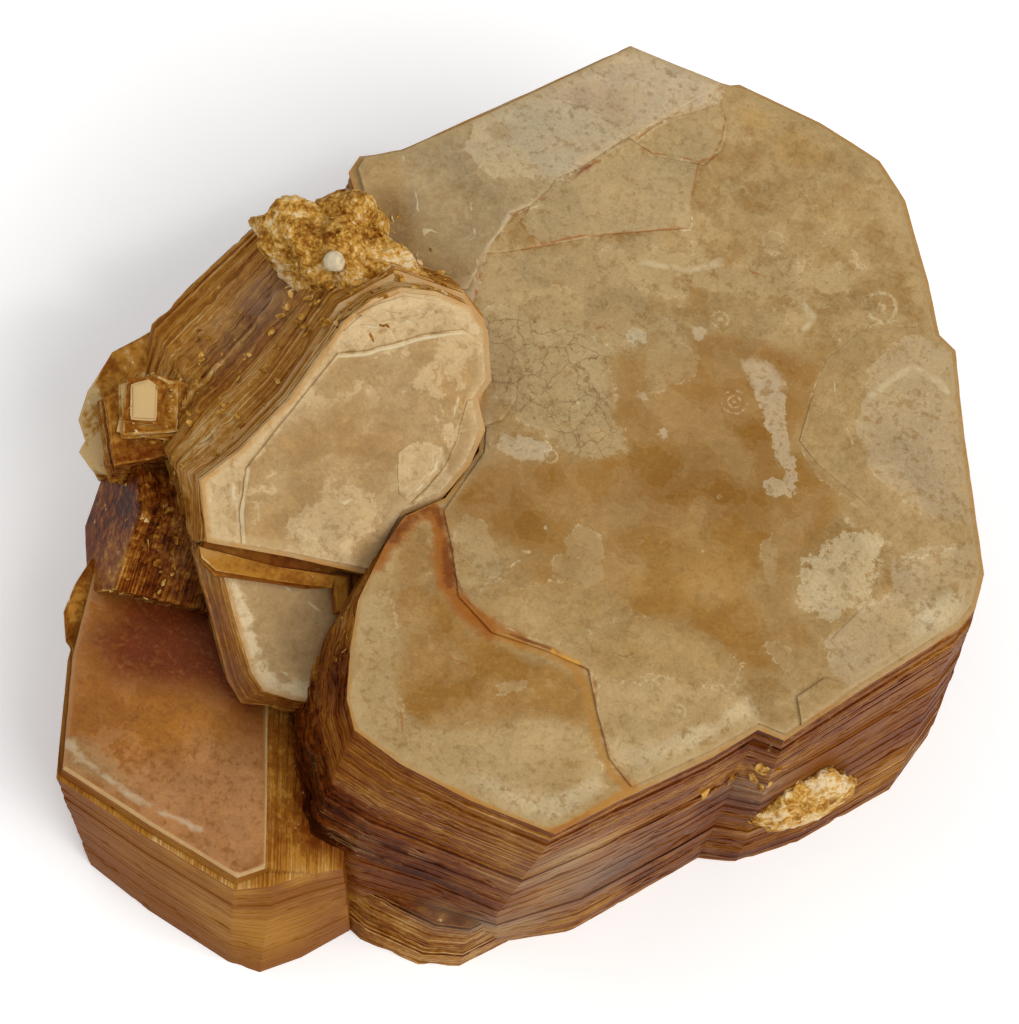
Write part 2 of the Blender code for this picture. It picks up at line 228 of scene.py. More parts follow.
# Places where a book's side is broken into lumps and ridges: centre, reach and strength.
ROUGH_PLACES = [
    (-6.4, -16.6, 9.0, 2.6, 1.0), (-6.0, -15.4, 13.0, 2.4, 1.0), (-5.0, -17.4, 13.5, 2.0, 0.9),
    (-4.4, -18.6, 9.5, 2.0, 0.8), (-5.8, -12.4, 16.0, 1.4, 0.5), (-16.0, 3.2, 20.0, 2.6, 0.55),
    (-17.6, 0.4, 18.6, 2.6, 0.55), (-18.8, -1.8, 17.2, 2.4, 0.7), (-17.4, -9.8, 15.2, 3.0, 1.0),
    (-19.6, -8.4, 12.8, 3.0, 1.0), (-15.0, -11.6, 12.6, 2.2, 0.8), (-16.2, -5.8, 19.6, 1.6, 0.6),
    (16.4, -10.2, 14.0, 2.0, 0.6), (-4.2, -19.6, 10.0, 2.2, 1.0), (-3.6, -18.8, 13.5, 1.8, 0.7),
    (-5.0, -14.8, 18.0, 1.8, 0.8),
]
ROUGH_RIDGES, ROUGH_CELLS = (0.42, 0.55, 1.3), (0.5, 1.1, 0.4)
ROUGH_LEAST = 0.03
# How far below a head its edge stays unbroken.
HEAD_EDGE = 0.6

# Where flakes lie: centre, radius, number, smallest and largest size, and how far they stand up
# from the skin, from 0, lying flat, to 1.
FLAKE_ZONES = [
    ((-12.4, 5.4, 23.5), 5.5, 220, 0.2, 0.7, 0.5),
    ((-6.0, -12.6, 18.0), 2.0, 30, 0.15, 0.45, 0.5),
    ((-17.6, -3.0, 18.5), 5.0, 120, 0.15, 0.5, 0.5),
    ((-17.6, -10.6, 14.0), 3.5, 50, 0.2, 0.6, 0.5),
    ((16.6, -10.0, 14.0), 2.5, 20, 0.3, 0.8, 0.3),
    ((20.3, -7.4, 7.6), 3.0, 200, 0.15, 0.5, 0.7),
]
# A flake of size 1: its thickness, how unevenly its corners are turned and how far out they are,
# its width against its length, and the width and height of its worn top edge.
FLAKE_CORNERS = (6, 7, 8)
FLAKE_THICKNESS, FLAKE_UNEVEN, FLAKE_RADII, FLAKE_WIDTH = 0.1, 0.25, (0.35, 0.6), 0.7
FLAKE_BEVEL = {"thickness": 0.06, "depth": 0.03}
# How deep a flake sinks into the skin, and how many places on the whole skin are tried for one.
FLAKE_SINK, FLAKE_TRIES = 0.12, 400

# Tones of the broken sides: where they are strongest, how far they reach, how strong they are.
# The dark tone is partly painted shade, on walls that face away from the key light and in the
# clefts between books, and the pale tone partly painted light, on walls that face it; both are
# also the leaves' own colours.
SIDE_TONES = {
    "dark": tenths(
        -2, -197, 107, 30, 8, 29, -200, 100, 30, 8, 55, -196, 88, 30, 7, -21, -191, 126, 30, 8,
        -39, -179, 138, 20, 6, -47, -161, 188, 15, 9, 127, -150, 74, 20, 9, 140, -135, 36, 15, 9,
        163, -99, 181, 16, 6, 162, -104, 107, 20, 9, 177, -95, 96, 16, 9, 157, -111, 55, 20, 6,
        -168, 27, 192, 30, 6, -173, 0, 183, 30, 4, -158, 36, 201, 20, 6, -186, -17, 174, 30, 2,
        -175, -98, 154, 30, 3, -195, -83, 129, 30, 4, -160, -109, 137, 20, 3, -33, -201, 90, 20, 5,
        -67, -160, 90, 8, 9, -59, -83, 181, 10, 8, -37, 15, 207, 8, 8, -48, -183, 90, 20, 5,
        -73, -146, 126, 10, 7, 42, -199, 66, 20, 5, 10, -202, 61, 20, 4, -128, -113, 202, 9, 9,
        -107, -110, 202, 9, 9, -86, -107, 202, 9, 9, -37, -179, 93, 11, 9, -29, -191, 93, 12, 10,
        -21, -203, 93, 13, 10, -60, -153, 96, 9, 9, -40, -187, 94, 13, 10, -27, -205, 92, 15, 10,
        -35, -166, 93, 15, 10, -170, -210, 50, 40, 6, 136, -136, 110, 30, 4, 215, -55, 140, 35, 5,
        245, -10, 100, 40, 5, 5, -190, 170, 30, 3, -125, -126, 137, 20, 6, -108, -145, 118, 20, 6,
        -140, -109, 153, 20, 3, -44, -190, 110, 20, 5, -54, -146, 175, 16, 7, -15, -211, 93, 10, 9,
        -45, -167, 93, 9, 8, each=5),
    "gold": tenths(
        -11, -191, 176, 22, 5, 18, -195, 180, 22, 5, 47, -197, 177, 22, 4, 212, -52, 139, 30, 5,
        232, -25, 138, 30, 5, 239, -11, 188, 30, 6, 247, -22, 39, 25, 9, 260, 11, 11, 25, 8,
        -154, 44, 234, 30, 7, -117, 65, 237, 30, 8, -146, 67, 240, 30, 6, -177, -117, 139, 10, 9,
        -196, -131, 95, 20, 8, -218, -60, 126, 20, 7, -57, -128, 187, 12, 9, -50, -142, 200, 10, 9,
        -160, -59, 194, 20, 6, -140, -62, 221, 15, 7, -62, -189, 90, 15, 8, -125, -239, 53, 30, 4,
        -76, -249, 55, 30, 5, 33, -213, 9, 20, 5, 63, -206, 25, 20, 5, -156, -89, 210, 15, 5,
        -151, -77, 210, 11, 9, -141, -58, 218, 11, 9, -132, -36, 228, 11, 9, -124, -13, 239, 11, 9,
        -118, 10, 250, 11, 9, -101, 34, 258, 11, 9, each=5),
    "pale": tenths(
        71, -194, 159, 20, 4, 101, -174, 139, 25, 6, 91, -183, 87, 25, 6, 80, -190, 26, 25, 6,
        126, -154, 25, 20, 5, 110, -169, 12, 20, 5, -201, -44, 176, 13, 9, -136, 43, 238, 6, 9,
        -32, -225, 90, 12, 8, -18, -217, 90, 10, 8, 5, -208, 30, 15, 6, -3, -205, 36, 10, 5,
        29, -211, 32, 15, 5, 54, -211, 19, 15, 4, -132, -233, 95, 20, 3, -95, -241, 94, 20, 4,
        -61, -247, 92, 20, 4, -193, -58, 173, 15, 3, -76, -103, 152, 10, 5, -30, -250, 40, 35, 5,
        0, -228, 50, 30, 4, each=5),
    "calm": tenths(
        110, -170, 80, 60, 9, 160, -110, 80, 50, 5, 220, -50, 100, 60, 8, 255, 10, 100, 80, 8,
        -170, -200, 50, 60, 4, each=5),
    "red": tenths(
        -186, -84, 136, 30, 9, -206, -80, 110, 30, 8, -54, -132, 146, 16, 8,
        -44, -190, 110, 30, 10, -54, -146, 175, 20, 10, -60, -168, 110, 30, 10,
        -54, -149, 167, 15, 8, -52, -173, 137, 20, 7, -31, -188, 107, 25, 7, -41, -216, 90, 15, 5,
        -176, -107, 147, 20, 6, -145, -119, 118, 20, 7, 15, -198, 90, 30, 4, -36, 13, 206, 8, 8,
        -39, -52, 200, 10, 7, -55, -66, 189, 10, 6, -28, -22, 200, 10, 5, -128, -114, 200, 9, 8,
        -107, -111, 200, 9, 8, -86, -108, 200, 9, 8, -37, -179, 93, 11, 9, -29, -191, 93, 12, 8,
        -21, -203, 93, 13, 8, -15, -211, 93, 10, 9, -45, -167, 93, 9, 8, each=5),
    "violet": tenths(
        -125, -126, 137, 18, 4, -108, -145, 118, 18, 4, -140, -109, 153, 18, 4,
        95, -180, 130, 30, 6, 115, -164, 80, 35, 7, 86, -188, 40, 30, 6, 47, -200, 50, 14, 6,
        69, -194, 50, 16, 8, -163, 27, 196, 24, 6, -169, 9, 188, 24, 4,
        176, -93, 120, 20, 5, each=5),
}


def blob(x, y, radius):
    """A small roundish outline."""
    return [(x + radius * math.cos(turn), y + radius * math.sin(turn))
            for turn in (k * math.pi / 4 for k in range(8))]


# The four tones of each book's head: ground, haze, light and dark.
MAIN_TONES = ("tan", "haze", "cream", "amber")
LEFT_TONES = ("left_face", "left_grey", "left_light", "left_shade")
FRONT_TONES = ("front_face", "front_face", "front_pink", "front_deep")

# Zones of colour on the main head, in painting order: colour, strength, softness and raggedness
# of the edge, and outlines.
MAIN_ZONES = {
    # The upper and frost zones are the upper plate's frosted film, lightened further by painted
    # sheen.
    "upper": ("beige", 0.85, 0.08, 0.1, [tenths(
        22, 260, 22, 234, -2, 212, -19, 191, -34, 166, -44, 155, -46, 138, -57, 126, -64, 100,
        -60, 79, -59, 50, -130, 70, -160, 114, -150, 135, -34, 260)]),
    # Painted shadow: a pinkish brown band beyond the frost's upper edge.
    "upper_rose": ("rose", 0.6, 0.4, 0.4, [tenths(
        -70, 194, -62, 199, -53, 210, -41, 218, -27, 219, -18, 206, -21, 195, -28, 199, -38, 201,
        -48, 196, -59, 195)]),
    "upper_grey": ("grey", 0.9, 0.1, 0.35, [tenths(
        -147, 114, -142, 129, -127, 136, -99, 170, -70, 197, -59, 197, -43, 202, -26, 199,
        -20, 195, -27, 179, -34, 167, -44, 155, -47, 140, -58, 128, -65, 103, -64, 87, -77, 62,
        -104, 74, -129, 94)]),
    "frost": ("frost", 0.5, 0.08, 0.5, [tenths(
        -82, 190, -69, 197, -61, 197, -51, 196, -43, 200, -33, 199, -24, 197, -19, 192, -23, 183,
        -30, 170, -39, 158, -44, 149, -53, 152, -63, 150, -72, 142, -84, 142, -97, 149, -98, 165,
        -91, 179)]),
    "frost_spot": ("grey", 0.8, 0.2, 0.4, [tenths(
        -89, 169, -83, 173, -76, 173, -74, 167, -79, 162, -85, 161)]),
    "shade_leaf": ("shade_grey", 0.6, 0.12, 0.45, [tenths(
        -110, 116, -101, 126, -92, 132, -85, 135, -71, 134, -64, 140, -62, 129, -62, 116, -65, 102,
        -66, 91, -62, 74, -79, 67, -94, 78, -104, 97)]),
    "corner_tan": ("tan", 0.8, 0.3, 0.5, [tenths(
        -148, 116, -133, 135, -125, 132, -115, 111, -97, 87, -79, 69, -113, 70, -141, 99)]),
    # Painted shade: a soft umber in the dark corner beside the left book's upper end.
    "upper_dark": ("umber", 0.9, 1.1, 0.8, [tenths(
        -130, 104, -126, 116, -106, 104, -89, 87, -69, 84, -64, 88, -62, 69, -77, 58, -93, 64,
        -113, 81)]),
    "second": ("pale_tan", 0.9, 0.12, 0.2, [tenths(
        -53, 123, -49, 152, -33, 164, -14, 189, 26, 196, 28, 173, 33, 158, -7, 136, -39, 113)]),
    "flap": ("pale_tan", 0.7, 0.04, 0.1, [tenths(
        -12, 192, -1, 211, 22, 234, 31, 223, 33, 209, 27, 196, 18, 194)]),
    "middle": ("pale_tan", 0.65, 0.3, 0.9, [tenths(
        -62, 94, -38, 114, -6, 135, 17, 148, 27, 133, 27, 109, 36, 94, 32, 79, 14, 67, -8, 64,
        -41, 45, -39, 16, -30, -5, -57, 52, -61, 76)]),
    "golden": ("honey", 0.55, 0.4, 0.6, [
        tenths(58, 229, 69, 238, 85, 234, 90, 227, 77, 218, 62, 218),
        tenths(37, 238, 51, 239, 51, 232, 38, 230),
    ]),
    "amber": ("amber", 0.95, 0.5, 0.7, [tenths(
        -15, -11, 17, 0, 48, 23, 30, 31, 29, 46, 23, 72, 42, 84, 61, 95, 66, 104, 92, 106,
        114, 108, 126, 112, 129, 86, 129, 65, 141, 52, 163, 43, 159, 22, 152, 0, 152, -24,
        172, -40, 167, -61, 146, -71, 136, -67, 107, -59, 85, -67, 71, -60, 60, -60, 29, -70,
        14, -69, 19, -54, -5, -55, -25, -53, -35, -45, -28, -23)]),
    "amber_deep": ("deep_amber", 0.9, 1.6, 1.0, [
        tenths(80, 95, 120, 95, 110, 40, 130, -10, 90, -40, 50, -10, 70, 40),
        tenths(-29, -46, -30, -23, -14, -10, 16, 0, 22, -30, 16, -48, -5, -56),
    ]),
    "amber_glow": ("honey", 0.5, 1.2, 1.0, [tenths(
        70, -26, 85, -4, 117, 4, 134, -13, 132, -39, 102, -52, 74, -52)]),
    "amber_band": ("deep_amber", 0.8, 0.3, 0.5, [tenths(
        54, 99, 70, 102, 91, 109, 112, 114, 122, 110, 116, 102, 95, 99, 74, 91, 59, 89)]),
    "veined": ("pale_tan", 0.75, 0.05, 0.6, [tenths(
        -57, 61, -45, 71, -24, 75, -1, 77, 16, 72, 25, 55, 31, 41, 38, 32, 46, 23, 38, 13, 24, 7,
        13, 10, 2, 16, -12, 16, -24, 19, -35, 29, -48, 44)]),
    "right": ("haze", 0.8, 0.1, 0.4, [tenths(
        127, 90, 127, 115, 133, 137, 159, 154, 189, 152, 209, 114, 221, 81, 236, 50, 215, 33,
        196, 20, 179, 37, 165, 44, 141, 52, 129, 65)]),
    "right_facet": ("beige", 0.45, 0.08, 0.4, [
        tenths(150, 124, 156, 82, 174, 64, 204, 52, 234, 58, 209, 112, 190, 148, 164, 149),
        tenths(
            196, 20, 215, 33, 236, 50, 255, 40, 255, 0, 210, -65, 186, -52, 181, -36, 191, -15,
            204, -2),
    ]),
    # Painted sheen and highlight at the head's right edge, where the light falls brightest.
    "cream_right": ("cream", 0.75, 0.7, 0.8, [tenths(
        206, -36, 204, -10, 216, 8, 229, 32, 253, 40, 257, 17, 256, 1, 215, -55)]),
    "near_white": ("white", 0.7, 0.5, 0.6, [tenths(
        219, -4, 223, 8, 237, 19, 243, 14, 237, -6, 226, -17)]),
    "speckled": ("white", 0.55, 0.1, 1.3, [tenths(
        152, 0, 161, 17, 170, 30, 189, 32, 194, 10, 189, -8, 178, -25, 162, -20)]),
    "streaked": ("cream", 0.8, 0.08, 1.5, [tenths(
        -5, 119, 13, 134, 40, 140, 64, 153, 96, 160, 120, 176, 124, 163, 102, 143, 82, 134,
        50, 126, 25, 116, 3, 112)]),
    "blotches": ("cream", 0.6, 0.1, 0.5, [
        blob(7.7, 16.9, 0.54), blob(9.7, 16.8, 0.43), blob(10.6, 18.2, 0.49),
        blob(11.9, 17.2, 0.49), blob(5.6, 15.3, 0.54), blob(6.7, 15.2, 0.38),
        blob(9.2, 15.5, 0.43), blob(4.2, 14.8, 0.38), blob(10.6, 13.3, 0.76),
        blob(11.4, 14.5, 0.49)]),
    "rim_band": ("cream", 0.5, 0.25, 0.3, [tenths(
        32, 250, 67, 245, 108, 237, 129, 222, 151, 193, 163, 171, 176, 157, 170, 154, 154, 173,
        144, 190, 122, 215, 105, 228, 70, 236, 35, 242)]),
    "low": ("cream", 0.6, 0.1, 0.5, [
        tenths(
            -29, -185, -13, -173, 9, -165, 21, -157, 41, -149, 43, -140, 58, -132, 71, -132,
            83, -139, 91, -149, 102, -162, 86, -192, 79, -197, 37, -195, -4, -191, -28, -188),
        tenths(
            -39, -169, -42, -152, -58, -120, -50, -107, -40, -109, -29, -128, -24, -150, -14, -162,
            -1, -189, -27, -195),
    ]),
    "low_white": ("white", 0.45, 0.35, 0.3, [tenths(
        33, -184, 57, -190, 79, -191, 91, -175, 98, -161, 92, -154, 79, -174, 65, -181,
        45, -179)]),
    "corner_haze": ("deep_amber", 0.4, 0.2, 0.5, [tenths(
        -41, -109, -46, -87, -41, -64, -31, -58, -19, -75, -13, -96, -25, -106)]),
    "low_amber": ("amber", 1.0, 0.35, 0.7, [
        tenths(
            -25, -127, -12, -111, 19, -108, 46, -109, 68, -108, 76, -118, 78, -133, 53, -136,
            39, -148, 17, -163, -1, -166, -15, -159),
        tenths(
            -39, -114, -34, -96, -18, -94, 3, -105, 15, -118, 3, -144, -14, -158, -22, -146,
            -26, -124),
    ]),
    "low_film": ("film", 0.7, 0.08, 0.6, [
        tenths(
            2, -84, 9, -76, 22, -75, 32, -68, 43, -61, 62, -55, 78, -58, 78, -64, 66, -76, 55, -86,
            48, -94, 33, -98, 21, -96, 10, -94, 3, -90),
        tenths(
            63, -89, 67, -81, 75, -71, 93, -61, 116, -58, 130, -62, 141, -70, 142, -79, 126, -87,
            105, -91, 86, -102, 75, -107, 68, -98),
    ]),
    "low_right": ("cream", 0.6, 0.05, 0.4, [tenths(
        75, -107, 86, -102, 94, -103, 99, -95, 112, -89, 127, -89, 148, -85, 160, -88, 161, -96,
        146, -123, 117, -156, 111, -156, 100, -147, 91, -136, 81, -122)]),
    "low_right_white": ("white", 0.5, 0.3, 0.5, [tenths(
        95, -138, 111, -147, 137, -119, 157, -92, 153, -85, 142, -99, 122, -124, 109, -134)]),
    "films": ("frost", 0.6, 0.04, 0.35, [
        tenths(
            84, 95, 89, 100, 102, 100, 109, 94, 114, 87, 120, 73, 128, 59, 132, 53, 136, 37,
            135, 33, 127, 46, 120, 49, 114, 61, 100, 78, 91, 87),
        tenths(-19, -4, -19, 5, -6, 8, 7, 7, 7, 0, 4, -4, -7, -7),
        blob(12.5, 3.4, 0.65),
        blob(2.8, 8.6, 0.54),
        blob(4.2, 5.6, 0.27),
        blob(6.0, 3.9, 0.32),
        blob(5.7, 10.2, 0.38),
        blob(13.3, 1.0, 0.32),
        blob(1.9, -3.8, 0.27),
    ]),
    "thin_films": ("pale_tan", 0.5, 0.04, 0.3, [
        tenths(
            37, -29, 32, -40, 36, -45, 31, -51, 34, -62, 45, -61, 55, -58, 59, -51, 55, -42,
            50, -32, 43, -29),
        tenths(30, 106, 43, 104, 46, 94, 65, 88, 64, 77, 55, 68, 47, 59, 38, 68, 35, 81, 42, 84),
        tenths(130, 4, 134, 7, 139, 1, 145, -17, 142, -21, 136, -15, 132, -5),
        tenths(147, -51, 156, -56, 164, -62, 171, -59, 167, -51, 158, -49),
        tenths(-24, -48, -15, -46, -7, -51, -3, -57, 8, -67, 7, -74, -3, -76, -13, -72, -21, -63),
        tenths(28, -130, 37, -122, 42, -122, 40, -128, 31, -134),
        tenths(-27, 96, -22, 99, -10, 97, -16, 95),
    ]),
    "sub_leaf": ("rose", 0.8, 0.06, 0.3, [tenths(
        -36, -26, -44, -14, -44, 3, -37, 16, -29, 12, -23, 0, -25, -14, -30, -29)]),
}
# Lines on the main head: colour, strength, half-width and raggedness, and the lines.
MAIN_LINES = {
    "step_line": ("rust", 0.75, 0.13, 0.3, [tenths(
        21, 244, 15, 234, 8, 226, 0, 214, -7, 203, -13, 193, -23, 179, -31, 168, -41, 154,
        -45, 146, -47, 137, -58, 125)]),
    "step_stain": ("deep_red", 0.6, 0.3, 0.5, [tenths(-30, 169, -35, 162, -40, 155)]),
    "plate_lines": ("rust", 0.75, 0.12, 0.25, [
        tenths(-58, 126, -52, 122, -45, 117, -36, 116),
        tenths(
            -60, 75, -62, 87, -62, 95, -50, 105, -38, 114, -23, 127, -4, 137, 12, 146, 33, 159,
            28, 176, 24, 196),
        tenths(-12, 192, 0, 191, 10, 195, 24, 196, 30, 202, 31, 215, 27, 233, 21, 244),
        tenths(-63, 93, -61, 78, -58, 63),
    ]),
    "pale_lines": ("white", 0.65, 0.09, 0.25, [
        tenths(20, 247, 7, 228, -1, 216, -14, 195, -24, 182),
        tenths(-127, 134, -120, 127, -113, 121, -106, 105, -97, 91),
        tenths(-87, 105, -79, 102, -71, 99, -66, 91, -63, 79),
        tenths(-81, 121, -75, 111, -71, 99),
        tenths(-97, 97, -83, 99, -79, 102),
        tenths(130, 118, 139, 95, 147, 85, 160, 71),
        tenths(37, -50, 45, -44, 54, -41),
        tenths(18, -53, 17, -68, 10, -75),
        tenths(15, -51, 13, -63, 7, -70),
        tenths(110, -136, 123, -130, 132, -119),
        tenths(-22, 101, -12, 97),
    ]),
    "white_arcs": ("white", 0.5, 0.28, 0.7, [
        tenths(156, 105, 164, 120, 172, 131, 184, 129, 194, 124),
        tenths(102, 143, 112, 136, 110, 128),
        tenths(15, 128, 41, 135, 55, 146),
    ]),
    "hairs": ("umber", 0.6, 0.07, 0.25, [
        tenths(15, 122, 29, 122, 44, 123),
        tenths(15, 128, 24, 126),
        tenths(11, 53, 15, 34, 20, 17),
        tenths(7, 46, 10, 26),
        tenths(20, 49, 27, 30),
        tenths(-1, 46, -8, 33),
        tenths(-5, 49, -18, 43, -23, 33),
        tenths(9, 56, -2, 63, -10, 70),
        tenths(98, 155, 114, 159, 122, 170),
        tenths(76, -88, 85, -90, 87, -86),
        tenths(88, -77, 95, -83, 96, -78),
    ]),
    "squiggles": ("rust", 0.75, 0.09, 0.3, [
        tenths(-3, 71, 3, 76, 6, 81, 9, 84),
        tenths(26, 96, 33, 83),
        tenths(52, 105, 59, 92),
        tenths(69, 147, 94, 151, 102, 159),
    ]),
    "crack_glow": ("rust", 0.75, 0.5, 0.5, [tenths(
        -38, -51, -28, -65, -19, -80, -9, -92, 7, -100, 31, -102)]),
    "crack_band": ("gold", 0.7, 0.45, 0.5, [tenths(
        -2, -96, 17, -104, 34, -103, 49, -102, 62, -104, 72, -113, 78, -124, 87, -138, 100, -151,
        110, -156)]),
    "crack": ("deep_red", 0.9, 0.15, 0.3, [tenths(
        -35, -47, -28, -59, -20, -74, -12, -85, -2, -93, 17, -101, 34, -101, 47, -100, 56, -103)]),
    "crack_low": ("rust", 0.8, 0.12, 0.3, [tenths(
        56, -103, 68, -103, 75, -109, 79, -121, 90, -136, 103, -149, 113, -155)]),
    "crack_gold": ("bright_gold", 0.9, 0.16, 0.5, [tenths(47, -101, 54, -102, 63, -102)]),
    "crack_pale": ("white", 0.6, 0.08, 0.2, [
        tenths(-12, -82, -1, -91, 19, -99, 35, -98),
        tenths(77, -109, 81, -122, 91, -136, 100, -147, 112, -154),
    ]),
    "lobe_arch": ("rust", 0.95, 0.75, 1.5, [tenths(
        -54, -92, -52, -76, -47, -61, -37, -52, -31, -58, -24, -74, -16, -89, -2, -98, 14, -105)]),
    "arch_core": ("side_red", 0.8, 0.36, 1.5, [tenths(
        -52, -76, -47, -61, -37, -51, -29, -58, -22, -72, -15, -87)]),
    "corner_rim": ("gold", 0.9, 0.5, 0.5, [tenths(
        25, -194, 55, -198, 77, -198, 86, -193, 105, -167, 114, -155)]),
    "corner_stain": ("rust", 0.7, 0.25, 0.6, [tenths(66, -198, 81, -197, 97, -178)]),
    "lobe_line": ("rust", 0.5, 0.12, 0.5, [
        tenths(-6, -125, 13, -127, 27, -122),
        tenths(-22, -136, -18, -153, -9, -173, 1, -186),
    ]),
}
# Ring marks on the main head: centre, radius of the outer ring, number of rings.
RINGS = [
    (8.9, 7.2, 0.92, 3), (0.9, 0.2, 0.65, 2), (0.2, -2.3, 0.43, 1), (12.1, -10.6, 0.59, 2),
    (6.6, 11.4, 0.76, 2), (1.2, 3.7, 0.43, 1), (10.0, 1.7, 0.43, 1), (7.1, -2.4, 0.27, 1),
    (10.2, -1.6, 0.22, 1), (14.4, 15.7, 1.35, 2), (13.3, 0.9, 0.32, 1),
]

LEFT_ZONES = {
    "centre": ("left_shade", 0.85, 0.7, 0.8, [tenths(
        -27, 8, -11, 24, 13, 34, 25, 29, 30, 14, 30, -4, 32, -27, 9, -40, -12, -35, -26, -12)]),
    "round_leaf": ("left_light", 0.6, 0.06, 0.1, [tenths(
        29, 13, 35, 22, 50, 24, 59, 12, 58, 1, 50, -8, 40, -7, 33, 3)]),
    "waves": ("left_light", 0.75, 0.12, 0.2, [tenths(
        -24, 47, -32, 67, -28, 81, -10, 94, 13, 98, 30, 96, 40, 88, 24, 81, 12, 73, 1, 63,
        -10, 54)]),
    "left_band": ("left_light", 0.6, 0.1, 0.2, [tenths(
        -64, -44, -44, -72, -25, -66, -34, -51, -41, -29, -38, -6, -32, 16, -24, 44, -34, 30,
        -50, -20)]),
    "crackled": ("left_light", 0.5, 0.1, 1.0, [tenths(
        -14, -46, 6, -22, 21, -16, 34, -30, 26, -48, 4, -56)]),
    "right_dusk": ("umber", 0.55, 0.5, 0.5, [tenths(
        56, 19, 59, 27, 67, 15, 67, 3, 60, -6, 54, 2)]),
    "step_face": ("left_grey", 0.9, 0.3, 0.5, [tenths(
        -42, -79, 56, -60, 72, -124, 24, -146, -16, -110)]),
    "step_rim": ("white", 0.95, 0.16, 0.5, [tenths(
        -23, -84, -5, -107, 17, -129, 27, -135, 58, -129, 56, -122, 31, -127, 22, -123, 2, -103,
        -17, -84)]),
    "step_wedge": ("deep_red", 0.9, 0.25, 0.4, [tenths(
        43, -98, 49, -80, 66, -86, 79, -128, 59, -134, 49, -114)]),
}
# Lines on the left head: the ridge highlights are painted highlights along its ridges and leaf
# edges, the ridge shades painted shade beside them.
LEFT_LINES = {
    "pale_ridges": ("white", 0.85, 0.12, 0.25, [
        tenths(-24, 44, -17, 48, -10, 52, -5, 57, 1, 61, 12, 71, 24, 79, 31, 83),
        tenths(-20, 64, -11, 67, -4, 73, 5, 78),
        tenths(-17, 70, -11, 76, -2, 79, 6, 85),
        tenths(-47, -28, -40, -48, -30, -67),
        tenths(-40, -29, -33, -51, -24, -66),
        tenths(45, -10, 51, 12, 48, 33, 45, 54),
        tenths(5, -21, 15, -24, 21, -16),
        tenths(11, -80, 28, -82, 45, -87),
        tenths(19, -120, 33, -121, 45, -126),
    ]),
    "ridge_shades": ("left_shade", 0.85, 0.13, 0.25, [
        tenths(-24, 49, -17, 53, -10, 57, -5, 62, 1, 66, 12, 76, 24, 84),
        tenths(-21, 56, -12, 64, -3, 69, 6, 74),
        tenths(-20, 68, -11, 71, -4, 77, 5, 82),
        tenths(-50, -28, -43, -48, -33, -67),
        tenths(-43, -29, -36, -51, -27, -66),
        tenths(48, -10, 54, 12, 51, 33, 48, 54),
    ]),
}
FRONT_ZONES = {
    "gold_left": ("front_face", 0.7, 0.9, 1.2, [tenths(
        -187, -161, -170, -138, -160, -155, -155, -190, -169, -205, -182, -190)]),
    # The deep zone is partly the front book's own deep red and partly painted shade under the left
    # book's overhang.
    "deep": ("deep_red", 1.1, 1.5, 1.4, [tenths(
        -179, -151, -174, -110, -141, -80, -84, -70, -82, -153, -84, -164, -108, -155, -140, -164,
        -164, -164)]),
    "glow": ("front_glow", 0.7, 1.2, 1.2, [tenths(
        -150, -175, -117, -159, -92, -166, -105, -189, -135, -199)]),
    "glass": ("front_grey", 0.75, 0.3, 0.6, [tenths(
        -172, -216, -169, -206, -146, -212, -128, -222, -128, -227, -148, -225, -165, -224)]),
    "pink": ("front_pink", 0.8, 1.4, 1.2, [tenths(
        -135, -212, -105, -187, -77, -168, -50, -235, -61, -244, -98, -237, -134, -232)]),
}
FRONT_LINES = {
    "streak": ("frost", 0.5, 0.3, 0.9, [
        tenths(-172, -212, -156, -218, -128, -226, -109, -228, -88, -229),
        tenths(-172, -212, -169, -209, -165, -213, -164, -220),
    ]),
    "lit_edge": ("side_pale", 0.75, 0.17, 0.15, [tenths(
        -82, -146, -62, -199, -49, -234, -61, -245, -114, -236, -168, -225)]),
}


def srgb(red, green, blue):
    """A colour given in 0-255 screen values, as scene light."""
    return tuple(((v / 255 + 0.055) / 1.055) ** 2.4 if v > 10 else v / 255 / 12.92
                 for v in (red, green, blue))


def length_size(name, description, default):
    """A length that a user can change, in metres."""
    return bpy.props.FloatProperty(
        name=name, description=description, default=default, min=0.0, unit="LENGTH", precision=6)


def colour_of(name, description, *values):
    """A colour that a user can change, given in screen values."""
    return bpy.props.FloatVectorProperty(
        name=name, description=description, default=srgb(*values), subtype="COLOR", size=3,
        min=0.0, max=1.0)


class MicaSizes(bpy.types.PropertyGroup):
    """Sizes of the leaves and of their wear."""

    leaf: length_size("Leaf thickness", "Mean thickness of one leaf in a book's side", 0.00027)
    ledge: length_size("Ledge", "How far a leaf's edge stands in or out of the last's", 0.00004)
    band: length_size("Band", "How far a band of several leaves stands in or out", 0.00008)
    chip: length_size("Chip depth", "How deep the breaks in the leaves' edges go", 0.00014)
    edge_grain: length_size("Edge spacing", "Distance between points along a leaf's edge", 0.0003)
    face_grain: length_size("Face spacing", "Distance between points on a cleavage face", 0.0004)
    swell: length_size("Swell", "How far a cleavage face rises and falls", 0.00006)
    crumb: length_size("Crumb", "Size of the crumbs on the broken ridge", 0.0005)


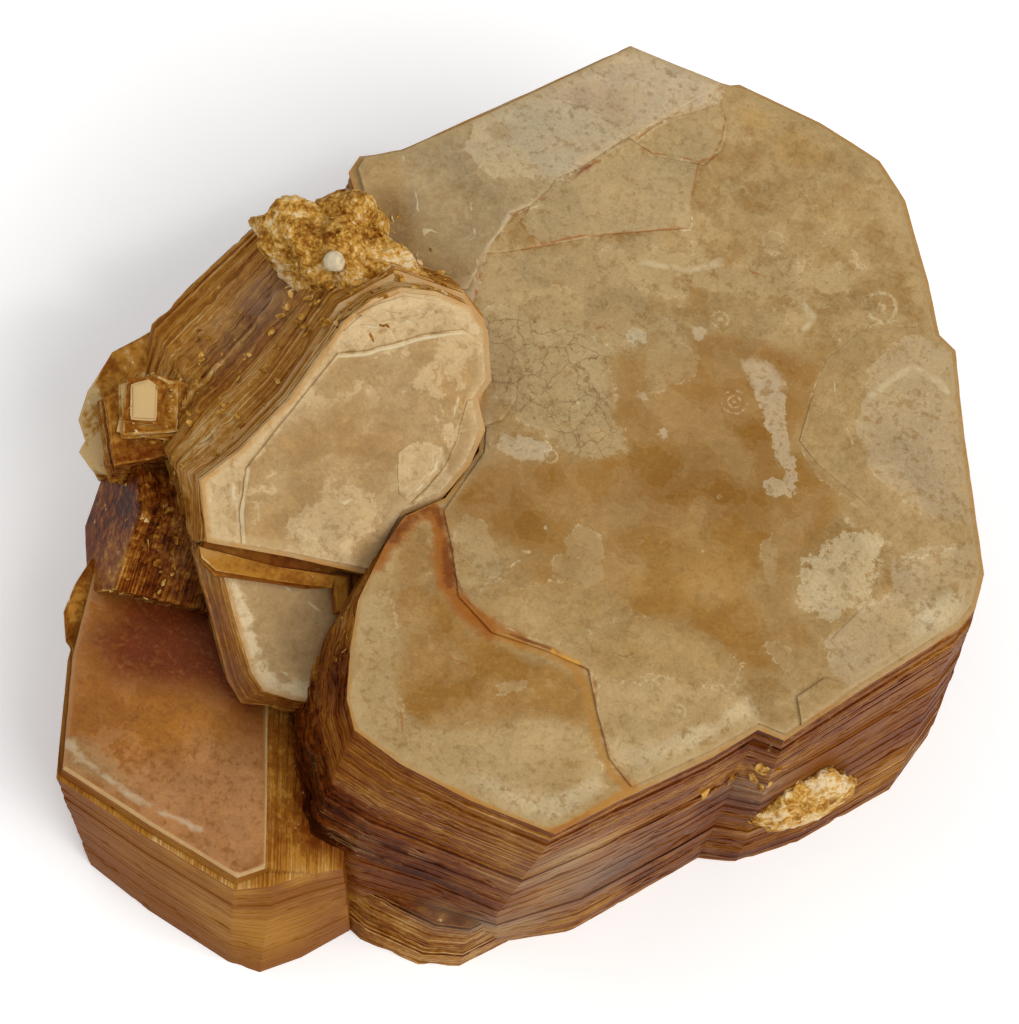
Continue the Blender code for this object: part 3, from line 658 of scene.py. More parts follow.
class MicaColours(bpy.types.PropertyGroup):
    """Colours of the faces and of the broken sides."""

    tan: colour_of("Tan", "Ground colour of the main head", 161, 128, 78)
    haze: colour_of("Haze", "Thin grey film on the main head", 163, 132, 84)
    amber: colour_of("Amber", "Clear honey-coloured mica", 147, 102, 38)
    deep_amber: colour_of("Deep amber", "Thickest clear mica", 136, 90, 26)
    # Beige and frost are the upper plate's frosted film, lightened further by painted sheen.
    beige: colour_of("Beige", "Upper plate of the main head", 194, 176, 146)
    grey: colour_of("Grey", "Frosted part of the upper plate", 152, 130, 92)
    # Umber is the cracks' own dark colour, and painted shade in the dark corner by the left book.
    umber: colour_of("Umber", "Shaded cracks and the dark corner", 112, 80, 40)
    pale_tan: colour_of("Pale tan", "Thin films and small plates", 172, 148, 106)
    film: colour_of("Film", "Thin films over the clear mica", 162, 127, 74)
    frost: colour_of("Frost", "Whitest part of the upper plate", 204, 188, 156)
    cream: colour_of("Cream", "Pale parts near the rim", 176, 148, 102)
    # White is also painted as the highlight at the main head's right edge.
    white: colour_of("White", "Whitest frosting", 212, 194, 156)
    gold: colour_of("Gold", "Lit leaf edges", 170, 116, 42)
    bright_gold: colour_of("Bright gold", "Clearest gold in the cracks", 216, 156, 56)
    # Rose is also painted as the shadow beyond the frost's upper edge.
    rose: colour_of("Rose", "Pinkish grey films", 168, 142, 112)
    shade_grey: colour_of("Shade grey", "Greyest leaf of the upper plate", 148, 124, 84)
    honey: colour_of("Honey", "Lightest clear mica", 176, 136, 72)
    rust: colour_of("Rust", "Iron-stained cracks", 148, 84, 18)
    # Deep red is also painted as the shade under the left book's overhang.
    deep_red: colour_of("Deep red", "Red heart of the front book", 104, 42, 8)
    left_face: colour_of("Left face", "Ground colour of the left book's head", 174, 137, 84)
    # Left shade is also painted as the shade beside the left head's ridges.
    left_shade: colour_of("Left shade", "Darker middle of the left book's head", 156, 118, 66)
    left_light: colour_of("Left light", "Palest leaves of the left book", 206, 178, 132)
    left_grey: colour_of("Left grey", "Step of the left book", 168, 136, 90)
    left_rim: colour_of("Left rim", "Golden rim of the left book's head", 178, 122, 46)
    front_glow: colour_of("Front glow", "Golden middle of the front book", 166, 106, 34)
    front_face: colour_of("Front face", "Ground colour of the front book's head", 146, 90, 32)
    front_deep: colour_of("Front deep", "Darker orange of the front book", 132, 72, 22)
    front_grey: colour_of("Front grey", "Frosted corner of the front book", 150, 118, 76)
    front_pink: colour_of("Front pink", "Pinkish part of the front book", 170, 120, 74)
    side: colour_of("Side", "Ground colour of the broken sides", 130, 76, 22)
    side_dark: colour_of("Side dark", "Darkest leaves", 54, 20, 4)
    side_gold: colour_of("Side gold", "Golden leaves", 166, 114, 42)
    # Side pale is also the painted sheen in the sides' streaks and the front book's lit edge.
    side_pale: colour_of("Side pale", "Palest leaves", 200, 168, 116)
    side_red: colour_of("Side red", "Reddest leaves", 100, 44, 8)
    side_violet: colour_of("Side violet", "Greyish violet bands", 150, 130, 106)
    # The colour of the painted glints.
    glint: colour_of("Glint", "Brightest broken edges", 232, 204, 156)
    crust: colour_of("Crust", "Granular gold crust", 208, 158, 74)


# Shapes.


# A leaf's thickness against the mean, the share of thick leaves and how much thicker they are,
# and the chance that a band of leaves ends at a leaf.
LEAF_SPREAD = (0.4, 1.6)
THICK_SHARE, THICK_TIMES = 0.12, 1.8
BAND_END = 0.28
# How ragged an edge is against its ledge, how deep the top leaf is chipped against the others,
# and how far in and out of its outline an edge may stand, in millimetres.
RAGGED, TOP_CHIP = 0.4, 0.35
FARTHEST_IN, FARTHEST_OUT = -2.0, 0.14
# Scales of the noise along an edge and of its chips, and where the chips start and are full.
EDGE_NOISE, CHIP_NOISE = 0.9, 0.8
CHIP_START, CHIP_SPAN = 0.3, 0.7
# How far apart the noise of two books and of two leaves is sampled, and how much that of the
# chips is squeezed along the depth.
BOOK_APART, LEAF_APART, CHIP_SQUEEZE = 5.1, 0.9, 1.6
# Width of the worn rim of a cleavage face and its rise, and how near the top a face is still part
# of the head.
WORN, WORN_RISE = 0.16, 0.3
HEAD_DEPTH = 0.12
# A face's mesh: distance of its rows and unevenness of its points, against its spacing.
ROW_STEP, POINT_UNEVEN = 0.87, 0.2
# A face's swell: how far apart two books' are sampled, scale and octaves of its broad and its
# fine noise, and the share of the fine one.
SWELL_APART, BROAD_SWELL, FINE_SWELL, FINE_SHARE = 3.7, (0.22, 2), (1.3, 3), 0.22
SMOOTH_ANGLE, BEAD_SMOOTH_ANGLE = 22.0, 60.0
NOWHERE, TINY, WELD = 1e9, 1e-12, 1e-6


def in_frame(place):
    """A book's own millimetres to the frame's metres."""
    return Matrix.Scale(MM, 4) @ Matrix.Translation(-Vector(MIDDLE)) @ place


def book_frame(origin, lean, toward):
    """The place of a book whose leaf normal leans from +Z by an angle, towards a direction."""
    turn = Matrix.Rotation(math.radians(toward), 4, "Z")
    tip = Matrix.Rotation(math.radians(lean), 4, "Y")
    return Matrix.Translation(Vector(origin)) @ turn @ tip @ turn.inverted()


UPRIGHT = Matrix.Identity(4)
LEFT_PLACE = book_frame(LEFT_ORIGIN, LEFT_LEAN, LEFT_TOWARD)


def anticlockwise(outline, *others):
    """The outlines turned round together, where the first runs clockwise."""
    points = np.array(outline, float)
    following = np.roll(points, -1, axis=0)
    area = (points[:, 0] * following[:, 1] - following[:, 0] * points[:, 1]).sum()
    step = 1 if area > 0 else -1
    return [np.array(o, float)[::step] for o in (outline, *others)]


def scaled(outline, factor):
    """The outline grown about its own middle."""
    points = np.array(outline, float)
    return points.mean(axis=0) + (points - points.mean(axis=0)) * factor


def hexagon(centre, radius, squash, turn):
    """A nearly regular six-sided outline."""
    angles = np.radians(turn + 60 * np.arange(6))
    return np.stack([centre[0] + radius * np.cos(angles),
                     centre[1] + radius * squash * np.sin(angles)], axis=1)


def spaced(outlines, spacing):
    """The outlines with extra points on their sides, the same number in each."""
    lengths = np.linalg.norm(np.roll(outlines[0], -1, axis=0) - outlines[0], axis=1)
    counts = np.maximum(1, np.ceil(lengths / spacing)).astype(int)
    result = []
    for outline in outlines:
        following = np.roll(outline, -1, axis=0)
        parts = [a + (b - a) * (np.arange(n) / n)[:, None]
                 for a, b, n in zip(outline, following, counts)]
        result.append(np.concatenate(parts))
    return result


def outward(ring):
    """The direction that points out of a ring at each of its points."""
    along = np.roll(ring, -1, axis=0) - np.roll(ring, 1, axis=0)
    normal = np.stack([along[:, 1], -along[:, 0]], axis=1)
    return normal / np.maximum(np.linalg.norm(normal, axis=1), TINY)[:, None]


def noise_at(points, scale, octaves=3):
    """Smooth noise, about -1 to 1, at each point."""
    return np.array([noise.fractal(Vector(p) * scale, 1.0, 2.0, octaves) for p in points])


def distance_to(points, line, closed):
    """Distance from each point to a line of corners."""
    corners = np.array(line, float)
    ends = np.roll(corners, -1, axis=0) if closed else corners[1:]
    starts = corners if closed else corners[:-1]
    nearest = np.full(len(points), NOWHERE)
    for a, b in zip(starts, ends):
        side = b - a
        share = np.clip(((points - a) @ side) / max(side @ side, TINY), 0, 1)
        nearest = np.minimum(nearest, np.linalg.norm(points - a - share[:, None] * side, axis=1))
    return nearest


def inside(points, outline):
    """True for each point within an outline."""
    corners = np.array(outline, float)
    result = np.zeros(len(points), bool)
    for a, b in zip(corners, np.roll(corners, -1, axis=0)):
        spans = (a[1] > points[:, 1]) != (b[1] > points[:, 1])
        rise = b[1] - a[1] if b[1] != a[1] else TINY
        result ^= spans & (points[:, 0] < (b[0] - a[0]) * (points[:, 1] - a[1]) / rise + a[0])
    return result


def depth_in(points, outlines):
    """How deep each point is inside the nearest of the outlines, negative outside."""
    best = np.full(len(points), -NOWHERE)
    for outline in outlines:
        distance = distance_to(points, outline, closed=True)
        best = np.maximum(best, np.where(inside(points, outline), distance, -distance))
    return best


def swell_at(points, amount, seed):
    """The gentle rise and fall of a cleavage face, with a little fine relief."""
    at = np.column_stack([points, np.full(len(points), seed * SWELL_APART)])
    return amount * (noise_at(at, *BROAD_SWELL) + FINE_SHARE * noise_at(at, *FINE_SWELL))


def select_only(*items):
    """Selects the items and nothing else. The last one becomes the active one."""
    bpy.ops.object.select_all(action="DESELECT")
    for item in items:
        item.select_set(True)
    bpy.context.view_layer.objects.active = items[-1]


def in_scene(name, data):
    """A new object in the scene, for a mesh, a light or a camera."""
    item = bpy.data.objects.new(name, data)
    bpy.context.scene.collection.objects.link(item)
    return item


def start_ring(name, count):
    """A circle primitive with as many points as the outline, filled with one face."""
    bpy.ops.object.select_all(action="DESELECT")
    bpy.ops.mesh.primitive_circle_add(vertices=count, radius=MM, fill_type="NGON")
    item = bpy.context.object
    item.name = item.data.name = name
    column = item.data.attributes.new("column", "INT", "POINT")
    column.data.foreach_set("value", np.arange(count, dtype=np.int32))
    return item


def extruded(item, rings):
    """Extrudes the face of a ring downward, once for each further ring, and opens the top."""
    bpy.ops.object.mode_set(mode="EDIT")
    bpy.ops.mesh.select_mode(type="FACE")
    bpy.ops.mesh.select_all(action="SELECT")
    for _ in range(rings - 1):
        bpy.ops.mesh.extrude_region_move(TRANSFORM_OT_translate={"value": (0, 0, -MM)})
    bpy.ops.mesh.select_all(action="DESELECT")
    bpy.ops.object.mode_set(mode="OBJECT")
    for polygon in item.data.polygons:
        polygon.select = len(polygon.vertices) > 4 and polygon.center.z > -MM / 2
    bpy.ops.object.mode_set(mode="EDIT")
    bpy.ops.mesh.delete(type="ONLY_FACE")
    bpy.ops.mesh.select_mode(type="VERT")
    bpy.ops.object.mode_set(mode="OBJECT")


def coordinates(mesh, what="co"):
    """The mesh's points, or their normals."""
    values = np.empty(len(mesh.vertices) * 3)
    mesh.vertices.foreach_get(what, values)
    return values.reshape(-1, 3)


def put_coordinates(mesh, points):
    mesh.vertices.foreach_set("co", np.asarray(points, float).ravel())
    mesh.update()


def leaf_face(name, ring, heights, spacing, swell, seed):
    """The cleavage face inside a ring: an even mesh that swells gently and is worn at its rim."""
    chance = np.random.default_rng(seed)
    low, high = ring.min(axis=0), ring.max(axis=0)
    columns = np.arange(low[0], high[0], spacing)
    rows = np.arange(low[1], high[1], spacing * ROW_STEP)
    grid = np.array([(x + (0.5 * spacing if j % 2 else 0.0), y)
                     for j, y in enumerate(rows) for x in columns])
    grid += chance.uniform(-POINT_UNEVEN, POINT_UNEVEN, grid.shape) * spacing
    deep = depth_in(grid, [ring])
    grid = grid[deep > WORN + 0.5 * spacing]
    shoulder = ring - outward(ring) * WORN
    shoulder = shoulder[depth_in(shoulder, [ring]) > 0.7 * WORN]
    flat = np.concatenate([ring, shoulder, grid])
    sides = [(i, (i + 1) % len(ring)) for i in range(len(ring))]
    points, _, faces, origin, *_ = geometry.delaunay_2d_cdt(
        [Vector(p) for p in flat], sides, [], 1, WELD)
    flat = np.array([tuple(p) for p in points])
    top = heights.mean() + WORN * WORN_RISE + swell_at(flat, swell, seed)
    for i, sources in enumerate(origin):
        rim = [s for s in sources if s < len(ring)]
        if rim:
            flat[i] = ring[rim[0]]
            top[i] = heights[rim[0]]
    mesh = bpy.data.meshes.new(name)
    mesh.from_pydata(np.column_stack([flat, top]).tolist(), [], [tuple(f) for f in faces])
    return in_scene(name, mesh)


def leaf_cuts(depth, leaf, chance):
    """Shares of a book's depth at which one leaf ends and the next begins, unevenly thick."""
    count = max(2, round(depth / leaf))
    thickness = chance.uniform(*LEAF_SPREAD, count)
    thickness[chance.random(count) < THICK_SHARE] *= THICK_TIMES
    return np.concatenate([[0.0], np.cumsum(thickness) / thickness.sum()])


def outline_at(z, heights, outlines):
    """The outline between two levels of a book."""
    level = min(max(int((heights > z).sum()), 1), len(heights) - 1)
    share = (heights[level - 1] - z) / (heights[level - 1] - heights[level])
    return outlines[level - 1] + (outlines[level] - outlines[level - 1]) * share


def leaf_stack(name, place, levels, seed, ledge_scale=1.0, chip_scale=1.0, leaf_scale=1.0,
               spacing_scale=1.0):
    """One book: a stack of leaves from its head to its foot, with a cleavage face on top.

    Its levels are heights and outlines, head first. Each leaf stands a little in or out of the
    last, bands of leaves do so together, and the edges are chipped where the noise says so. The
    book is closed by its foot.
    """
    sizes = bpy.context.scene.mica_sizes
    chance = np.random.default_rng(seed)
    heights = np.array([height for height, _ in levels])
    outlines = np.array(spaced(anticlockwise(*[outline for _, outline in levels]),
                               sizes.edge_grain / MM * spacing_scale))
    top, bottom = heights[0], heights[-1]
    cuts = leaf_cuts(top - bottom, sizes.leaf / MM * leaf_scale, chance)
    leaves, count = len(cuts) - 1, outlines.shape[1]
    band_of = np.cumsum(chance.random(leaves) < BAND_END)
    band_shift = chance.uniform(-1, 1, band_of.max() + 1) * sizes.band / MM
    ledge = sizes.ledge / MM * ledge_scale
    rings = []
    for leaf in range(leaves):
        shift = (band_shift[band_of[leaf]] * ledge_scale + chance.uniform(-1, 1) * ledge
                 if leaf else 0.0)
        for cut in (cuts[leaf], cuts[leaf + 1]):
            z = top + (bottom - top) * cut
            ring = outline_at(z, heights, outlines)
            at = np.full((count, 1), seed * BOOK_APART + leaf * LEAF_APART)
            ragged = ledge * RAGGED * noise_at(np.hstack([ring, at]), EDGE_NOISE)
            deep = np.full((count, 1), top + (bottom - top) * cuts[leaf] * CHIP_SQUEEZE)
            chips = noise_at(np.hstack([ring, deep]) + seed, CHIP_NOISE) - CHIP_START
            chips = np.clip(chips, 0, CHIP_SPAN) / CHIP_SPAN
            fall = sizes.chip / MM * chip_scale * chips * (TOP_CHIP if leaf == 0 else 1.0)
            out = np.clip(shift + ragged - fall, FARTHEST_IN, FARTHEST_OUT)
            ring = ring + outward(ring) * out[:, None]
            rings.append(np.column_stack([ring, np.full(count, z)]))
    swell = sizes.swell / MM
    rim = rings[0]
    rim[:, 2] += swell_at(rim[:, :2], swell, seed)
    item = start_ring(name, count)
    extruded(item, len(rings))
    index = np.round(-coordinates(item.data)[:, 2] / MM).astype(int)
    column = np.empty(len(item.data.vertices), np.int32)
    item.data.attributes["column"].data.foreach_get("value", column)
    put_coordinates(item.data, np.array(rings)[index, column])
    item.data.attributes.remove(item.data.attributes["column"])
    face = leaf_face(name + "_face", rim[:, :2].copy(), rim[:, 2].copy(),
                     sizes.face_grain / MM * spacing_scale, swell, seed)
    closed_up(item, face)
    place_book(item, place, top)
    return item


def closed_up(item, *others):
    """Joins the others to the item, welds their shared points and turns all faces outwards."""
    select_only(*others, item)
    if others:
        bpy.ops.object.join()
    bpy.ops.object.mode_set(mode="EDIT")
    bpy.ops.mesh.select_all(action="SELECT")
    bpy.ops.mesh.remove_doubles(threshold=WELD)
    bpy.ops.mesh.normals_make_consistent(inside=False)
    bpy.ops.object.mode_set(mode="OBJECT")


def nearness(points, places):
    """0 far from all the places, and up to their strength at them."""
    total = np.zeros(len(points))
    for x, y, z, reach, strength in places:
        distance = np.linalg.norm(points - (x, y, z), axis=1)
        total = np.maximum(total, strength * np.exp(-(distance / reach) ** 2))
    return total


def ridges_at(points, strength, scale, middle):
    """Sharp crests and hollows about the middle of the noise, at each point."""
    return strength * (np.array([noise.ridged_multi_fractal(Vector(p) * scale, *RIDGE_FORM)
                                 for p in points]) - middle)


def cells_at(points, strength, scale, middle, seed=0):
    """Lumps about the middle of a pattern of cells, at each point."""
    shift = Vector((seed, 0, 0))
    return strength * (np.array([noise.voronoi(Vector(p) * scale + shift)[0][0]
                                 for p in points]) - middle)


def roughened(item, on_head):
    """Breaks up the leaves' edges into lumps and ridges at the rough places below the head."""
    mesh = item.data
    points = drawing_points(mesh)
    amount = nearness(points, ROUGH_PLACES)
    amount[on_head] = 0.0
    touched = np.flatnonzero(amount > ROUGH_LEAST)
    if not len(touched):
        return
    shape = (ridges_at(points[touched], *ROUGH_RIDGES)
             + cells_at(points[touched], *ROUGH_CELLS))
    points[touched] += coordinates(mesh, "normal")[touched] * (amount[touched] * shape)[:, None]
    put_coordinates(mesh, (points - MIDDLE) * MM)


def place_book(item, place, top):
    """Marks the head's faces, then moves the book from its own millimetres into the frame."""
    mesh = item.data
    points = coordinates(mesh)
    for polygon in mesh.polygons:
        on_top = points[list(polygon.vertices), 2].min() > top - HEAD_DEPTH
        polygon.material_index = 0 if on_top and abs(polygon.normal.z) > 0.5 else 1
    mesh.transform(in_frame(place))
    mesh.update()
    roughened(item, points[:, 2] > top - HEAD_EDGE)


def rough_lump(name):
    """A broken lump: a ball drawn out, swollen by noise and covered with crumbs."""
    centre, half_widths, turn, seed, crumbs, detail = LUMPS[name]
    crumb = bpy.context.scene.mica_sizes.crumb / MM * crumbs
    bpy.ops.object.select_all(action="DESELECT")
    bpy.ops.mesh.primitive_ico_sphere_add(subdivisions=detail, radius=1.0)
    item = bpy.context.object
    item.name = item.data.name = name
    stretched = coordinates(item.data) * np.array(half_widths)
    swell = np.array([noise.noise(Vector(p) * LUMP_NOISE_SCALE + Vector((seed, seed, seed)))
                      for p in stretched])
    shaped = stretched * (1.0 + LUMP_SWELL * swell)[:, None]
    away = shaped / np.linalg.norm(shaped, axis=1)[:, None]
    broken = cells_at(shaped, *CRUMB_CELLS, seed) + ridges_at(shaped, *CRUMB_RIDGES)
    shaped += away * (crumb * broken)[:, None]
    put_coordinates(item.data, shaped)
    place = Matrix.Translation(centre) @ Matrix.Rotation(math.radians(turn), 4, "Z")
    item.data.transform(in_frame(place))
    closed_up(item)
    return item


def one_flake(name, corners, seed):
    """A broken leaf a millimetre across: a short extruded outline with its top edge worn."""
    chance = np.random.default_rng(seed)
    item = start_ring(name, corners)
    angles = np.linspace(0, 2 * math.pi, corners, endpoint=False)
    angles += chance.uniform(-FLAKE_UNEVEN, FLAKE_UNEVEN, corners)
    radii = chance.uniform(*FLAKE_RADII, corners)
    put_coordinates(item.data, np.column_stack(
        [radii * np.cos(angles), FLAKE_WIDTH * radii * np.sin(angles), np.zeros(corners)]))
    bpy.ops.object.mode_set(mode="EDIT")
    bpy.ops.mesh.select_all(action="SELECT")
    bpy.ops.mesh.extrude_region_move(
        TRANSFORM_OT_translate={"value": (0, 0, FLAKE_THICKNESS)})
    bpy.ops.mesh.inset(**FLAKE_BEVEL)
    bpy.ops.mesh.select_all(action="DESELECT")
    bpy.ops.mesh.select_mode(type="EDGE")
    bpy.ops.object.mode_set(mode="OBJECT")
    mesh = item.data
    edge_use = {}
    for polygon in mesh.polygons:
        for key in polygon.edge_keys:
            edge_use[key] = edge_use.get(key, 0) + 1
    for edge in mesh.edges:
        edge.select = edge_use[edge.key] == 1
    bpy.ops.object.mode_set(mode="EDIT")
    bpy.ops.mesh.edge_face_add()
    bpy.ops.mesh.select_all(action="SELECT")
    bpy.ops.mesh.normals_make_consistent(inside=False)
    bpy.ops.mesh.select_mode(type="VERT")
    bpy.ops.object.mode_set(mode="OBJECT")
    return item


def surface_places(centre, radius, count, chance):
    """Points and normals on the CAD solid's skin within a radius of a place, in the frame."""
    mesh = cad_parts[CAD_NODE].data
    mesh.calc_loop_triangles()
    points = coordinates(mesh)
    corners = np.array([t.vertices for t in mesh.loop_triangles])
    a, b, c = (points[corners[:, k]] for k in range(3))
    cross = np.cross(b - a, c - a)
    areas = np.linalg.norm(cross, axis=1) / 2
    middle = (np.array(centre) - MIDDLE) * MM
    found = []
    order = chance.choice(len(areas), size=count * FLAKE_TRIES, p=areas / areas.sum())
    weights = chance.random((len(order), 2))
    for triangle, (u, v) in zip(order, weights):
        if u + v > 1:
            u, v = 1 - u, 1 - v
        p = a[triangle] + u * (b[triangle] - a[triangle]) + v * (c[triangle] - a[triangle])
        if np.linalg.norm(p - middle) < radius * MM:
            found.append((p, cross[triangle] / (2 * areas[triangle])))
            if len(found) == count:
                break
    return found


def scatter(name, models, zones, seed):
    """Copies of a few models, each with its own mesh, set on the skin in zones and joined."""
    chance = np.random.default_rng(seed)
    copies = []
    for centre, radius, count, smallest, largest, upright in zones:
        for point, normal in surface_places(centre, radius, count, chance):
            model = models[chance.integers(len(models))]
            copy = model.copy()
            copy.data = model.data.copy()
            bpy.context.scene.collection.objects.link(copy)
            away = Vector(normal).lerp(Vector(chance.normal(size=3)).normalized(), upright)
            turn = away.to_track_quat("Z", "Y").to_matrix().to_4x4()
            spin = Matrix.Rotation(chance.uniform(0, 2 * math.pi), 4, "Z")
            size = chance.uniform(smallest, largest)
            sunk = Matrix.Translation(Vector(point) - Vector(normal) * size * MM * FLAKE_SINK)
            copy.data.transform(sunk @ turn @ spin @ Matrix.Scale(size * MM, 4))
            copies.append(copy)
    for model in models:
        bpy.data.objects.remove(model, do_unlink=True)
    item = copies[0]
    select_only(*copies[1:], item)
    bpy.ops.object.join()
    item.name = item.data.name = name
    return item


# Colour fields.


FAR_INSIDE = 9.0


def put_field(mesh, name, values):
    """Stores a number at each point of the mesh, for the materials to read."""
    attribute = mesh.attributes.new(name, "FLOAT", "POINT")
    attribute.data.foreach_set("value", np.asarray(values, np.float32))


def drawing_points(mesh):
    """The mesh's points in the drawing's millimetres."""
    return coordinates(mesh) / MM + MIDDLE


def own_points(mesh, place):
    """The mesh's points in a book's own millimetres."""
    homogeneous = np.column_stack([drawing_points(mesh), np.ones(len(mesh.vertices))])
    return (homogeneous @ np.array(place.inverted()).T)[:, :3]


def tone_fields(item):
    """How strong each of SIDE_TONES is, and how rough the skin is, at each point."""
    points = drawing_points(item.data)
    for tone, places in {**SIDE_TONES, "rough": ROUGH_PLACES}.items():
        put_field(item.data, tone, nearness(points, places))


def zone_fields(item, place, zones, lines, rim, own_outline=None):
    """Depths inside the colour zones of a head, and distances to its lines and its rim."""
    flat = own_points(item.data, place)[:, :2]
    for name, (*_, outlines) in zones.items():
        put_field(item.data, "zone_" + name, depth_in(flat, outlines))
    for name, (*_, drawn) in lines.items():
        nearest = np.min([distance_to(flat, line, closed=False) for line in drawn], axis=0)
        put_field(item.data, "line_" + name, nearest)
    put_field(item.data, "rim", distance_to(flat, rim, closed=True))
    put_field(item.data, "edge", np.full(len(flat), FAR_INSIDE) if own_outline is None
              else distance_to(flat, own_outline, closed=True))


# Materials.


BEND_ROUGHNESS = 0.62


class Value:
    """A number socket in a material, on which Python's arithmetic adds Math nodes."""

    def __init__(self, recipe, socket):
        self.recipe, self.socket = recipe, socket

    def math(self, operation, *others, swapped=False):
        values = [self, *others][::-1] if swapped else [self, *others]
        return self.recipe.number("ShaderNodeMath", {"operation": operation}, values)

    def __add__(self, other):
        return self.math("ADD", other)

    def __sub__(self, other):
        return self.math("SUBTRACT", other)

    def __rsub__(self, other):
        return self.math("SUBTRACT", other, swapped=True)

    def __mul__(self, other):
        return self.math("MULTIPLY", other)

    __radd__, __rmul__ = __add__, __mul__

    def sine(self):
        return self.math("SINE")

    def size(self):
        return self.math("ABSOLUTE")

    def most(self, other):
        return self.math("MAXIMUM", other)

    def step(self, low, high):
        """0 below low, 1 above high, and smooth between. Low may be the higher one."""
        return self.recipe.number(
            "ShaderNodeMapRange", {"interpolation_type": "SMOOTHSTEP"},
            {"Value": self, "From Min": low, "From Max": high})


class Recipe:
    """A material being written: adds nodes, and ends in one shader."""

    def __init__(self, name):
        self.colours = bpy.context.scene.mica_colours
        self.material = bpy.data.materials.new(name)
        self.material.use_nodes = True
        self.tree = self.material.node_tree
        self.tree.nodes.clear()

    def plug(self, socket, value):
        """Links or sets a socket. A word stands for the colour of that name."""
        if isinstance(value, str):
            value = getattr(self.colours, value)
        if isinstance(value, Value):
            value = value.socket
        if isinstance(value, bpy.types.NodeSocket):
            self.tree.links.new(value, socket)
        elif hasattr(value, "__len__") and socket.type == "RGBA" and len(value) == 3:
            socket.default_value = (*value, 1.0)
        else:
            socket.default_value = value

    def node(self, kind, settings, sockets, output=0):
        """Adds a node, sets it, feeds its sockets by name or in order, and returns an output."""
        node = self.tree.nodes.new(kind)
        for key, value in settings.items():
            setattr(node, key, value)
        named = sockets.items() if isinstance(sockets, dict) else enumerate(sockets)
        for key, value in named:
            self.plug(node.inputs[key], value)
        return node.outputs[output]

    def number(self, kind, settings, sockets, output=0):
        """Adds a node as node does, and returns its output as a Value."""
        return Value(self, self.node(kind, settings, sockets, output))

    def vector_math(self, operation, *vectors):
        return self.node("ShaderNodeVectorMath", {"operation": operation}, vectors)

    def attribute(self, name):
        return self.number("ShaderNodeAttribute", {"attribute_name": name}, {}, "Fac")

    def own_place(self, place, stretch=(1, 1, 1)):
        """The surface's place in a book's own millimetres, squeezed along its axes."""
        objects = self.node("ShaderNodeTexCoord", {}, {}, "Object")
        origin = (place.translation - Vector(MIDDLE)) * MM
        own = self.node("ShaderNodeMapping", {"vector_type": "TEXTURE"}, {
            "Vector": objects, "Location": origin, "Rotation": place.to_euler(),
            "Scale": (MM, MM, MM)})
        if stretch == (1, 1, 1):
            return own
        return self.vector_math("MULTIPLY", own, stretch)

    def noise(self, vector, scale, detail, roughness, distortion=0.0):
        return self.number("ShaderNodeTexNoise", {}, {
            "Vector": vector, "Scale": scale, "Detail": detail, "Roughness": roughness,
            "Distortion": distortion})

    def bent(self, vector, scale, amount, detail):
        """The place pushed about by noise, so that what is drawn on it gets irregular edges."""
        push = self.node("ShaderNodeTexNoise", {}, {
            "Vector": vector, "Scale": scale, "Detail": detail, "Roughness": BEND_ROUGHNESS},
            "Color")
        centred = self.vector_math("SUBTRACT", push, (0.5, 0.5, 0.5))
        return self.vector_math("MULTIPLY_ADD", centred, (amount, amount, amount), vector)

    def between(self, first, second, share):
        """A place part of the way from one to another."""
        apart = self.vector_math("SUBTRACT", second, first)
        return self.vector_math("MULTIPLY_ADD", apart, (share, share, share), first)

    def shards(self, vector, scale):
        """A tone from 0 to 1 that differs from shard to shard."""
        tones = self.node("ShaderNodeTexVoronoi", {}, {"Vector": vector, "Scale": scale}, "Color")
        return self.number("ShaderNodeSeparateColor", {}, [tones])

    def cell_edges(self, vector, scale):
        """Distance to the nearest edge of a pattern of cells."""
        return self.number("ShaderNodeTexVoronoi", {"feature": "DISTANCE_TO_EDGE"}, {
            "Vector": vector, "Scale": scale})

    def cells(self, vector, scale):
        """Distance to the middle of the nearest cell."""
        return self.number("ShaderNodeTexVoronoi", {}, {"Vector": vector, "Scale": scale})

    def distance(self, vector, point):
        return self.number(
            "ShaderNodeVectorMath", {"operation": "DISTANCE"}, [vector, point], "Value")

    def mix(self, share, first, second, blend="MIX"):
        """Two colours mixed."""
        node = self.tree.nodes.new("ShaderNodeMix")
        node.data_type, node.blend_type = "RGBA", blend
        self.plug(node.inputs[0], share)
        self.plug(node.inputs[6], first)
        self.plug(node.inputs[7], second)
        return node.outputs[2]

    def ramp(self, value, stops):
        """Colours that follow one another as the value grows, from (value, name) stops."""
        colour = stops[0][1]
        for (low, _), (high, tint) in zip(stops, stops[1:]):
            colour = self.mix(value.step(low, high), colour, tint)
        return colour

    def brightness(self, colour, factor):
        """A colour made lighter or darker by a factor."""
        grey = self.node("ShaderNodeCombineColor", {}, [factor, factor, factor])
        return self.mix(1.0, colour, grey, "MULTIPLY")

    def bump(self, height, distance, strength):
        """A normal that makes a height stand out."""
        return self.node("ShaderNodeBump", {}, {
            "Height": height, "Distance": distance, "Strength": strength})

    def shader(self, constants, **varying):
        """Ends the material in a shader, with constants on its sockets and what varies linked."""
        shader = self.tree.nodes.new("ShaderNodeBsdfPrincipled")
        for name, value in constants.items():
            self.plug(shader.inputs[name], value)
        for name, value in varying.items():
            self.plug(shader.inputs[name.replace("_", " ")], value)
        output = self.tree.nodes.new("ShaderNodeOutputMaterial")
        self.tree.links.new(shader.outputs[0], output.inputs[0])
        return self.material


